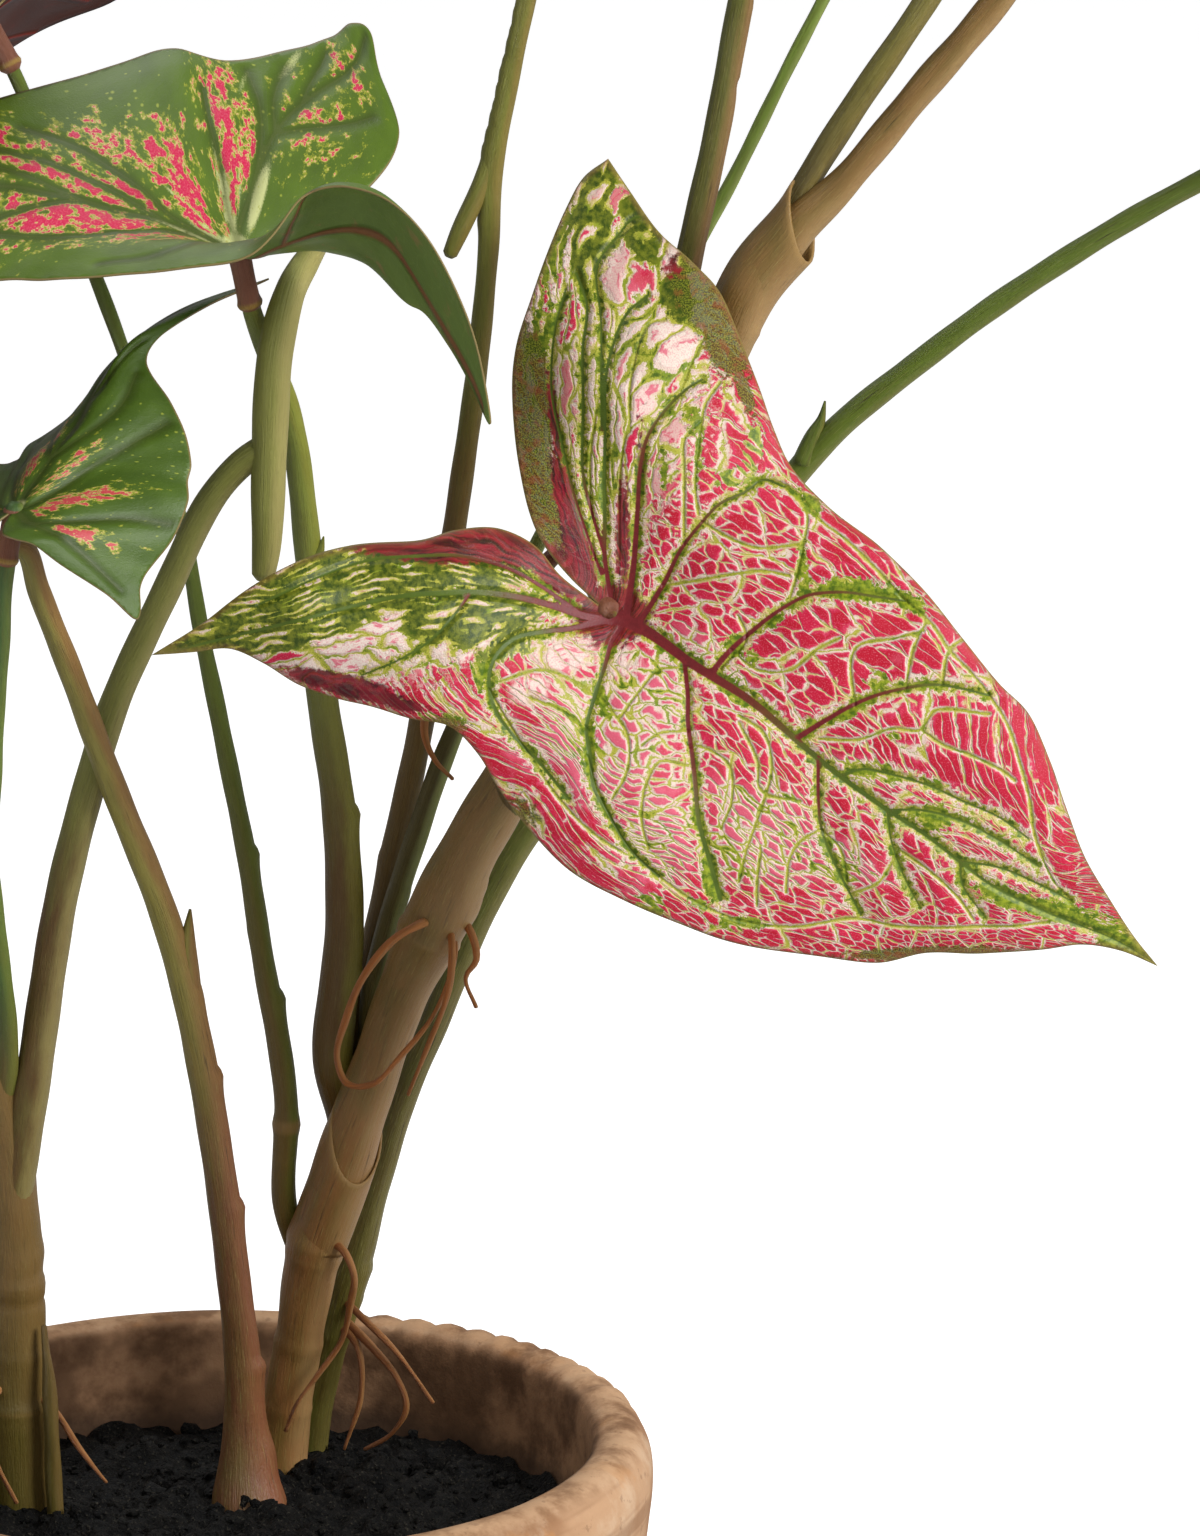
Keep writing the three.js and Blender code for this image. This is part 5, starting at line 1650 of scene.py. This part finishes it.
BENDS = {
    "corner_left": Bend((-67, 47, 528), 170, 45, 24, 128, 14),
    "low_left": Bend((-150, -110, 486), 205, 34, 45, 150),
    "outer_left": Bend((-190, 25, 495), 172, 30, 50, 150),
    "back_left": Bend((-150, 112, 440), 135, 30, 45, 130),
    "top_back": Bend((99, 97, 684), 128, 28, 48, 145),
    "top_front": Bend((152, 18, 722), 245, 30, 42, 150),
    "top_slim": Bend((223, 79, 690), 78, 26, 50, 135),
    "top_fork": Bend((268, 100, 628), 62, 32, 45, 140),
    "top_right": Bend((332, 6, 651), -22, 26, 48, 150),
    "right": Bend((392, 0, 530), -10, 40, 35, 130),
}
PINK_BLADES = ("top_front", "top_right", "low_left", "back_left")

GREEN_UNDERSIDE = Underside("green_underside")
PINK_UNDERSIDE = Underside(
    "pink_underside", srgb(150, 100, 92), srgb(190, 158, 134), srgb(120, 40, 46),
    srgb(130, 120, 76), srgb(110, 130, 70), 0.6,
)
BROWN_UNDERSIDE = Underside(
    "brown_underside", srgb(40, 14, 9), srgb(76, 34, 22), srgb(110, 34, 24), srgb(30, 14, 10),
    srgb(130, 26, 22), 0.35, 0.12,
)


@dataclass
class Foliage:
    """All of the blades."""

    front_spacing: float = 1.15
    upper_left_length: float = 165.0
    middle_left_length: float = 125.0
    side_spacing: float = 1.5
    corner_spacing: float = 2.0
    far_spacing: float = 3.0

    def front(self) -> Blade:
        """The front blade, seen full face."""
        depths = np.array(FRONT_DEPTHS, float)
        knots = depths[:, :2]
        x, z = FRONT_JOINT
        targets = np.c_[knots[:, 0] + x, depths[:, 2], knots[:, 1] + z]
        return Blade(
            "front_blade", "leaf_front", "pink_leaf", FRONT_SPANS, ThinPlate(knots, targets),
            FRONT_VEINS, FRONT_AREAS, PinkBlade(), PINK_UNDERSIDE, self.front_spacing, 0.5, 1.3,
        )

    def posed(self, name: str, length: float, handles: Sequence, veins: Sequence, areas: Sequence,
              upper: GreenBlade) -> Blade:
        """A green blade drawn through handles.

        Args:
            name: The blade's place.
            length: Its midrib's length, in mm.
            handles: Flat points and their places.
            veins: Its veins.
            areas: Its areas of colour.
            upper: Its upper finish.

        Returns:
            The blade.
        """
        table = np.array(handles, float)
        return Blade(
            f"{name}_blade", f"leaf_{name}", "green_leaf", arrow_spans(length),
            ThinPlate(table[:, :2], table[:, 2:]), veins, areas, upper, GREEN_UNDERSIDE,
            self.side_spacing, 0.55, 0.7,
        )

    def bent(self, name: str, bend: Bend) -> Blade:
        """One of the blades that bend over on their petioles."""
        pink = name in PINK_BLADES
        lower = PINK_UNDERSIDE if pink else GREEN_UNDERSIDE
        if name == "corner_left":
            lower = BROWN_UNDERSIDE
        return Blade(
            f"{name}_blade", f"leaf_{name}", "pink_leaf" if pink else "green_leaf",
            arrow_spans(bend.length), bend, arrow_veins(bend.length),
            pink_areas(bend.length) if pink else green_areas(bend.length),
            PinkBlade() if pink else GreenBlade(f"{name}_green", seed=bend.length * 0.37), lower,
            self.corner_spacing if name == "corner_left" else self.far_spacing, 0.7, 1.2, 0.5,
        )

    def near(self) -> list[Blade]:
        """The two green blades on the left."""
        faded = GreenBlade(
            "middle_left_green", srgb(38, 60, 12), srgb(82, 108, 28), faded=0.4, seed=3.0,
        )
        return [
            self.posed("upper_left", self.upper_left_length, UPPER_LEFT_HANDLES, UPPER_LEFT_VEINS,
                       UPPER_LEFT_AREAS, GreenBlade("upper_left_green")),
            self.posed("middle_left", self.middle_left_length, MIDDLE_LEFT_HANDLES,
                       MIDDLE_LEFT_VEINS, MIDDLE_LEFT_AREAS, faded),
        ]

    def build(self) -> None:
        """Builds every blade."""
        for blade in [self.front(), *self.near(), *(self.bent(*item) for item in BENDS.items())]:
            blade.build()


# Stems of the plant

SOCKET_SKIN = StemSkin(
    "socket_skin", srgb(132, 82, 74), srgb(138, 88, 80), 0.3, 0.5, srgb(104, 60, 54), 0.4,
    srgb(168, 120, 108), -1.0, 0.4, srgb(84, 46, 42), srgb(176, 130, 118), 0.3, srgb(170, 140, 70),
    0.3,
)
ROOT_SKIN = StemSkin(
    "root_skin", srgb(156, 96, 62), srgb(190, 114, 62), 0.1, 0.28, srgb(122, 76, 46), 0.7,
    srgb(232, 178, 136), 1.0, 0.45, srgb(104, 56, 34), srgb(228, 176, 140), 0.6,
    srgb(190, 130, 100), 0.4,
)


def marks_of(text: str) -> list[Mark]:
    """Marks from a text with a comma between marks, with "all" for one that goes all round."""
    made = []
    for row in text.split(",") if text else ():
        shape, height, size, spread, facing, scar = row.split()
        side = None if facing == "all" else float(facing)
        made.append(
            Mark(Shape(shape), float(height), float(size), float(spread), side, float(scar)),
        )
    return made


# Marks, low and high colour with the heights between which they change, and other values
PETIOLE_LOOKS = {
    "front": ("", (srgb(96, 78, 50), srgb(120, 60, 42), 0.33, 0.375), {}),
    "upper_left": (
        "lip 299 1.7 5 0 0.2, lip 250 0.7 5 0 0.2",
        (srgb(96, 70, 30), srgb(128, 142, 72), 0.27, 0.37),
        {"flank": srgb(150, 152, 66), "flank_amount": 0.55},
    ),
    "middle_left": ("", (srgb(126, 102, 72), srgb(70, 108, 64), 0.2, 0.27), {}),
    "corner_left": (
        "lip 286 1.4 5 0 0.2, lip 241 1.6 6 0 0.2, ring 200 0.6 2.5 all 1, "
        "lip 262 0.3 3 180 0.2",
        (srgb(116, 94, 50), srgb(104, 124, 54), 0.2, 0.36),
        {"flank": srgb(104, 124, 42), "flank_amount": 0.6},
    ),
    "low_left": (
        "lip 224 1.6 5 0 0.3, lip 183 1.6 6 0 0.3, lip 134 2 6 0 0.5, ring 106 1.4 6 10 0, "
        "ring 250 0.4 6 0 0, ring 88 2.6 13 all 0",
        (srgb(110, 72, 52), srgb(148, 140, 82), 0.17, 0.27),
        {"patch": srgb(104, 98, 50), "mottle": 0.5, "flank": srgb(158, 96, 82),
         "flank_amount": 0.5, "streak": 0.9},
    ),
    "outer_left": ("", (srgb(98, 92, 46), srgb(84, 118, 50), 0.25, 0.45), {}),
    "back_left": ("", (srgb(96, 92, 52), srgb(84, 118, 50), 0.2, 0.35), {}),
    "top_back": (
        "lip 282 0.5 4 180 0.2", (srgb(112, 88, 48), srgb(122, 126, 62), 0.38, 0.43),
        {"flank": srgb(150, 128, 78), "flank_amount": 0.6},
    ),
    "top_front": (
        "lip 512 -0.9 3 0 0.3, lip 534 0.4 5 0 0.3",
        (srgb(92, 90, 42), srgb(98, 104, 46), 0.34, 0.6),
        {"flank": srgb(148, 112, 88), "flank_amount": 0.85, "streak": 1.0},
    ),
    "top_slim": (
        "lip 273 0.4 4 0 0.2", (srgb(84, 76, 36), srgb(142, 174, 84), 0.3, 0.46),
        {"flank": srgb(190, 208, 140), "flank_amount": 0.6},
    ),
    "top_fork": (
        "lip 560 0.5 5 0 0.5", (srgb(74, 62, 30), srgb(112, 108, 54), 0.47, 0.53),
        {"flank": srgb(150, 132, 84), "flank_amount": 0.5, "streak": 1.1},
    ),
    "right": (
        "lip 151 1 6 0 0.2, ring 128 0.5 3 all 0.3, lip 140 0.5 3 0 0.2, lip 429 0.8 5 90 0.4",
        (srgb(92, 82, 40), srgb(100, 122, 44), 0.2, 0.36),
        {"patch": srgb(80, 98, 34), "flank": srgb(152, 142, 92), "flank_amount": 0.5,
         "streak": 1.1},
    ),
    "sheathed": (
        "", (srgb(98, 74, 44), srgb(136, 140, 82), 0.27, 0.33),
        {"patch": srgb(110, 112, 58), "flank": srgb(184, 172, 134), "flank_amount": 0.55,
         "streak": 0.5, "gloss": 0.36},
    ),
}


@dataclass
class Stems:
    """The canes, petioles, sockets and roots."""

    socket_length: float = 16.0
    socket_radius: float = 3.3
    root_thick: float = 1.35
    root_thin: float = 0.55
    cane_sides: int = 32
    sides: int = 22
    root_sides: int = 12
    step: float = 1.7
    far_step: float = 4.0
    fine_step: float = 1.2
    root_step: float = 1.5
    offshoot: Route = rows("-51 12 84 2.8, -52 11 104 2.4, -52.5 12 130 2, -54 14 148 0.7")

    def canes(self) -> list[Stem]:
        """The two woody canes."""
        right_marks = marks_of("""ring 164 1 4 all 0.6, lip 160 0.9 1.6 all 1, ring 272 0.8 5 0 0,
            lip 262 1.2 1.6 all 1, lip 283 0.7 6 0 0.2, ring 131 0.4 2 all 0.4, lip 447 0.8 5 0 0.2,
            ring 110 0.3 1.6 all 0.3""")
        left_marks = marks_of("""lip 160 0.9 3 all 0.4, ring 168 0.7 3.5 0 0.1,
            ring 154 -0.5 1.2 all 0.2, lip 138 0.5 2 all 0.2, ring 121 0.7 1.8 all 0.5,
            lip 117 0.5 1.6 all 0.5, lip 205 0.5 6 0 0.2""")
        right = Stem(
            "right_cane", "cane_right", "cane",
            StemSkin(
                "right_cane_skin", srgb(142, 100, 68), srgb(128, 98, 62), 0.16, 0.27,
                patch=srgb(98, 90, 42), mottle=0.6, flank=srgb(212, 174, 146), flank_amount=0.4,
                streak=0.7, gloss=0.34,
            ),
            [CANE_ROUTES["cane_right"]], right_marks, self.cane_sides, self.step,
            wander=0.25, seed=2,
            collars=(
                Collar(rows("25 50 163 8.6, 30 47 178 8.6, 33 45 187 8.3"), 0.8, 26, 120, 0.0),
                Collar(rows("141 12 432 7.4, 151 11 455 8, 161 11 468 7.6"), 1.0, 16, 150, 0.8),
            ),
        )
        left = Stem(
            "left_cane", "cane_left", "cane",
            StemSkin(
                "left_cane_skin", srgb(96, 86, 42), srgb(118, 92, 60), 0.1, 0.17,
                patch=srgb(78, 72, 34), mottle=0.5, flank=srgb(150, 120, 84), flank_amount=0.4,
                streak=0.35,
            ),
            [CANE_ROUTES["cane_left"], self.offshoot], left_marks, self.cane_sides, self.step,
            wander=0.25, seed=5,
        )
        return [right, left]

    def petioles(self) -> list[Stem]:
        """The petioles, with the marks that each one has."""
        heights = np.arange(470, 690, 4.2)
        ledges = [Mark(Shape.LIP, height, 0.75, 2.2, 180, 0.35) for height in heights]
        flutes = {
            "top_front": (9, 0.14),
            "top_fork": (7, 0.2),
            "right": (12, 0.1),
            "low_left": (10, 0.1),
        }
        stems = []
        for number, (name, (text, tones, more)) in enumerate(PETIOLE_LOOKS.items()):
            finish = StemSkin(f"{name}_petiole_skin", *tones, **more)
            marks = marks_of(text)
            if name == "top_back":
                marks = [*ledges, *marks]
            count, depth = flutes.get(name, (0, 0.0))
            step = self.far_step if name in ("outer_left", "back_left") else self.step
            stems.append(Stem(
                f"{name}_petiole", f"petiole_{name}", "petiole", finish, PETIOLE_ROUTES[name],
                marks, self.sides, step, count, depth, 0.12, number,
            ))
        return stems

    def sockets(self) -> list[Stem]:
        """The sleeve on the last stretch of each blade's petiole."""
        carriers = {name: routes[0] for name, routes in PETIOLE_ROUTES.items()}
        del carriers["sheathed"]
        carriers["top_right"] = CANE_ROUTES["cane_right"]
        stems = []
        for name, route in carriers.items():
            path = spline(route, 1.0)
            left = lengths_along(path[::-1, :3])[::-1]
            end = path[left < self.socket_length][::3].copy()
            end[:, 3] = self.socket_radius
            end[0, 3] = self.socket_radius - 0.1
            low = end[0, 2]
            marks = [
                Mark(Shape.RING, low + 0.5, 0.5, 1.0, None, 1.0),
                Mark(Shape.RING, low + 8.0, -0.25, 6.0, None, 0.0),
            ]
            stems.append(Stem(
                f"{name}_socket", f"socket_{name}", "socket", SOCKET_SKIN, [end.tolist()],
                marks, self.sides, self.fine_step, wander=0.08, seed=3,
            ))
        return stems

    def roots(self) -> list[Stem]:
        """The aerial roots."""
        stems = []
        for number, (name, points) in enumerate(ROOT_ROUTES.items()):
            last = len(points) - 1
            route = [
                (*point, self.root_thick + (self.root_thin - self.root_thick) * i / last)
                for i, point in enumerate(points)
            ]
            stems.append(Stem(
                f"{name}_root", f"root_{name}", "root", ROOT_SKIN, [route], (), self.root_sides,
                self.root_step, wander=0.16, seed=number,
            ))
        return stems

    def build(self) -> None:
        """Builds every stem."""
        for stem in [*self.canes(), *self.petioles(), *self.sockets(), *self.roots()]:
            stem.build()


# Bowl and soil


def turned(section: Sequence[Flat], steps: int) -> bmesh.types.BMesh:
    """A closed mesh turned about Z from a section of radii and heights, in mm.

    Args:
        section: The section's points, from the bottom's middle and back to the axis.
        steps: The number of steps round the axis.

    Returns:
        The mesh.
    """
    bm = bmesh.new()
    verts = [bm.verts.new((radius * MM, 0, height * MM)) for radius, height in section]
    edges = [bm.edges.new(pair) for pair in zip(verts, verts[1:])]
    bmesh.ops.spin(
        bm, geom=verts + edges, cent=(0, 0, 0), axis=(0, 0, 1), angle=2 * math.pi,
        steps=steps, use_merge=True,
    )
    bmesh.ops.remove_doubles(bm, verts=bm.verts, dist=1e-6)
    bmesh.ops.recalc_face_normals(bm, faces=bm.faces)
    return bm


@dataclass
class Bowl:
    """The wide clay bowl, turned from its section."""

    height: float = 123.0
    segments: int = 264
    spans: Sequence[Sequence[Flat]] = (
        ((0, 0), (74, 0)),
        rows("""74 0, 78 0.8, 82 4, 99 25, 114 55, 122 82, 124 96, 125 106, 124.5 115, 122 120.5,
            118 123, 112 122.5, 108.5 120, 107.5 115, 107 101, 105 84, 99 58, 86 30, 68 16,
            0 14"""),
    )
    scallop_from: float = 10.0
    scallop_to: float = 80.0

    def build(self) -> bpy.types.Object:
        """Turns the bowl and dresses it.

        Returns:
            The piece.
        """
        section = [(0.0, 0.0)]
        for span in self.spans:
            section += [tuple(point) for point in spline(span, 2.4, 2)[1:]]
        bm = turned(section, self.segments)
        for vert in bm.verts:
            vert.co += Vector(self.wear(*vert.co))
        return finished_piece(bm, "clay_bowl", [CLAY.material()], ["bowl"])

    def wear(self, x: float, y: float, z: float) -> tuple[float, float, float]:
        """How far a point stands off the true turned shape, in metres."""
        radius = math.hypot(x, y)
        if radius < 0.02 or z < 0.004:
            return 0.0, 0.0, 0.0
        angle = math.atan2(y, x)
        rim = min(1.0, max(0.0, (z - 0.108) / 0.012)) * (1 if radius > 0.1 else 0)
        degrees = math.degrees(angle)
        ramp = min(1.0, max(0.0, (degrees - self.scallop_from) / 8))
        ramp *= min(1.0, max(0.0, (self.scallop_to - degrees) / 8))
        scallop = 0.95 * abs(math.sin(angle * 36 + 0.5 * math.sin(angle * 9))) * ramp * rim
        sway = 0.35 * math.sin(3 * angle + 1) + 0.25 * math.sin(7 * angle + 2.2)
        lump = noise.noise(Vector((x, y, z)) * 45) * 0.35
        out = (scallop * 0.9 + sway * rim - 1.0 * rim + lump * 0.6 - 0.35) * MM
        up = (scallop * 1.3 + sway * 0.5 - 1.5) * rim * MM
        return out * x / radius, out * y / radius, up


@dataclass
class Soil:
    """The potting mix, a lumpy bed with loose crumbs on it."""

    edge: float = 104.8
    level: float = 90.0
    spacing: float = 1.45
    crumbs: int = 1300
    clods: int = 110
    seed: int = 11
    segments: int = 220

    def height(self, x: float, y: float) -> float:
        """The height of the bed at a place, in mm."""
        radius = math.hypot(x, y)
        base = 91.5 - 3.0 * (radius / self.edge) ** 2
        broad = noise.noise(Vector((x, y, 3)) * 0.045) * 4.0
        lumps = noise.noise(Vector((x, y, 7)) * 0.13) * 4.4
        small = noise.noise(Vector((x, y, 1)) * 0.36) * 2.4
        return base + broad + lumps + small

    def build(self) -> bpy.types.Object:
        """Builds the bed and its crumbs.

        Returns:
            The piece.
        """
        top = [(radius, self.level) for radius in np.arange(0, self.edge, self.spacing)]
        section = [*top, (self.edge, 88), (98.2, 58), (85.2, 30), (67.2, 16.4), (0, 14.8)]
        bm = turned(section, self.segments)
        for vert in bm.verts:
            if vert.co.z > 0.087:  # the bed's top and not its sides
                vert.co.z = self.height(vert.co.x / MM, vert.co.y / MM) * MM
        self.scatter(bm)
        return finished_piece(bm, "potting_soil", [SOIL.material()], ["soil"])

    def scatter(self, bm: bmesh.types.BMesh) -> None:
        """Scatters the crumbs and clods over the bed."""
        chance = random.Random(self.seed)
        for number in range(self.crumbs + self.clods):
            large = number < self.clods
            size = chance.uniform(2.0, 4.0) if large else 0.5 + 1.4 * chance.random() ** 2
            reach = (self.edge - 4) * math.sqrt(chance.random())
            turn = chance.uniform(0, 2 * math.pi)
            x, y = reach * math.cos(turn), reach * math.sin(turn)
            made = bmesh.ops.create_icosphere(bm, subdivisions=2 if large else 1, radius=size * MM)
            spin = Matrix.Rotation(chance.uniform(0, 6.3), 4, "Z")
            squash = Matrix.Diagonal((chance.uniform(0.7, 1.3), chance.uniform(0.7, 1.3), 0.75, 1))
            place = Matrix.Translation(Vector((x, y, self.height(x, y) + size * 0.15)) * MM)
            shift = Vector((number, 0, 0))
            for vert in made["verts"]:
                lump = noise.noise(vert.co / (size * MM) * 1.4 + shift)
                vert.co = vert.co * (1 + 0.7 * lump)
            bmesh.ops.transform(bm, matrix=place @ spin @ squash, verts=made["verts"])


# Studio


@dataclass
class Studio:
    """The camera, the lights and the floor."""

    aim: tuple[float, float, float] = (0.109, 0.042, 0.3094)
    distance: float = 1.994
    elevation: float = 12.5
    lens: float = 160.0
    floor_side: float = 80.0
    daylight: float = 0.42
    glow: float = 0.72
    lights: Sequence[tuple] = field(
        default_factory=lambda: (
            ("key", (1.3, -0.95, 1.25), (0.08, 0.0, 0.35), 0.8, 36.0),
            ("fill", (-1.5, -1.3, 0.9), (0.05, 0.0, 0.35), 1.4, 4.0),
            ("top", (-0.3, 0.9, 1.7), (0.1, 0.0, 0.3), 1.0, 9.0),
        )
    )

    def build(self) -> None:
        """Sets up the camera, the lights and the floor."""
        self.camera()
        for light in self.lights:
            self.lamp(*light)
        world = bpy.data.worlds.new("daylight")
        world.use_nodes = True
        back = world.node_tree.nodes["Background"]
        back.inputs["Color"].default_value = (1, 1, 1, 1)
        back.inputs["Strength"].default_value = self.daylight
        bpy.context.scene.world = world
        bpy.context.scene.view_settings.view_transform = "Standard"
        bm = bmesh.new()
        bmesh.ops.create_grid(bm, x_segments=4, y_segments=4, size=self.floor_side / 2)
        mesh = bpy.data.meshes.new("studio_floor")
        bm.to_mesh(mesh)
        bm.free()
        mesh.materials.append(self.pale_floor())
        floor = bpy.data.objects.new("studio_floor", mesh)
        bpy.context.scene.collection.objects.link(floor)

    def pale_floor(self) -> bpy.types.Material:
        """The floor's finish, which glows a little where it is seen, so that it stays pale."""
        material = FLOOR.material()
        graph = Graph(material.node_tree)
        shader = material.node_tree.nodes["Principled BSDF"]
        seen = graph.made("Is Camera Ray", {}, "ShaderNodeLightPath")
        graph.put(shader.inputs["Emission Strength"], seen * self.glow)
        shader.inputs["Emission Color"].default_value = (1, 1, 1, 1)
        return material

    def camera(self) -> None:
        """Places the camera."""
        data = bpy.data.cameras.new("view")
        data.lens = self.lens
        data.clip_end = 200.0
        tilt = math.radians(self.elevation)
        eye = Vector(self.aim) + self.distance * Vector((0, -math.cos(tilt), math.sin(tilt)))
        camera = bpy.data.objects.new("view", data)
        camera.location = eye
        camera.rotation_euler = (math.pi / 2 - tilt, 0, 0)
        bpy.context.scene.collection.objects.link(camera)
        bpy.context.scene.camera = camera

    def lamp(self, name: str, place: Sequence[float], aim: Sequence[float], side: float,
             power: float) -> None:
        """Adds a square area light.

        Args:
            name: The light's name.
            place: Where it hangs.
            aim: What it points at.
            side: Its side, in metres.
            power: Its power, in watts.
        """
        data = bpy.data.lights.new(name, "AREA")
        data.size = side
        data.energy = power
        lamp = bpy.data.objects.new(name, data)
        lamp.location = place
        way = Vector(aim) - Vector(place)
        lamp.rotation_euler = way.to_track_quat("-Z", "Y").to_euler()
        lamp.visible_camera = False
        bpy.context.scene.collection.objects.link(lamp)


def main() -> None:
    """Builds the plant in its bowl and the studio round it."""
    logging.basicConfig(level=logging.INFO, format="%(message)s")
    Studio().build()
    Bowl().build()
    Soil().build()
    Stems().build()
    Foliage().build()


if __name__ == "__main__":
    main()
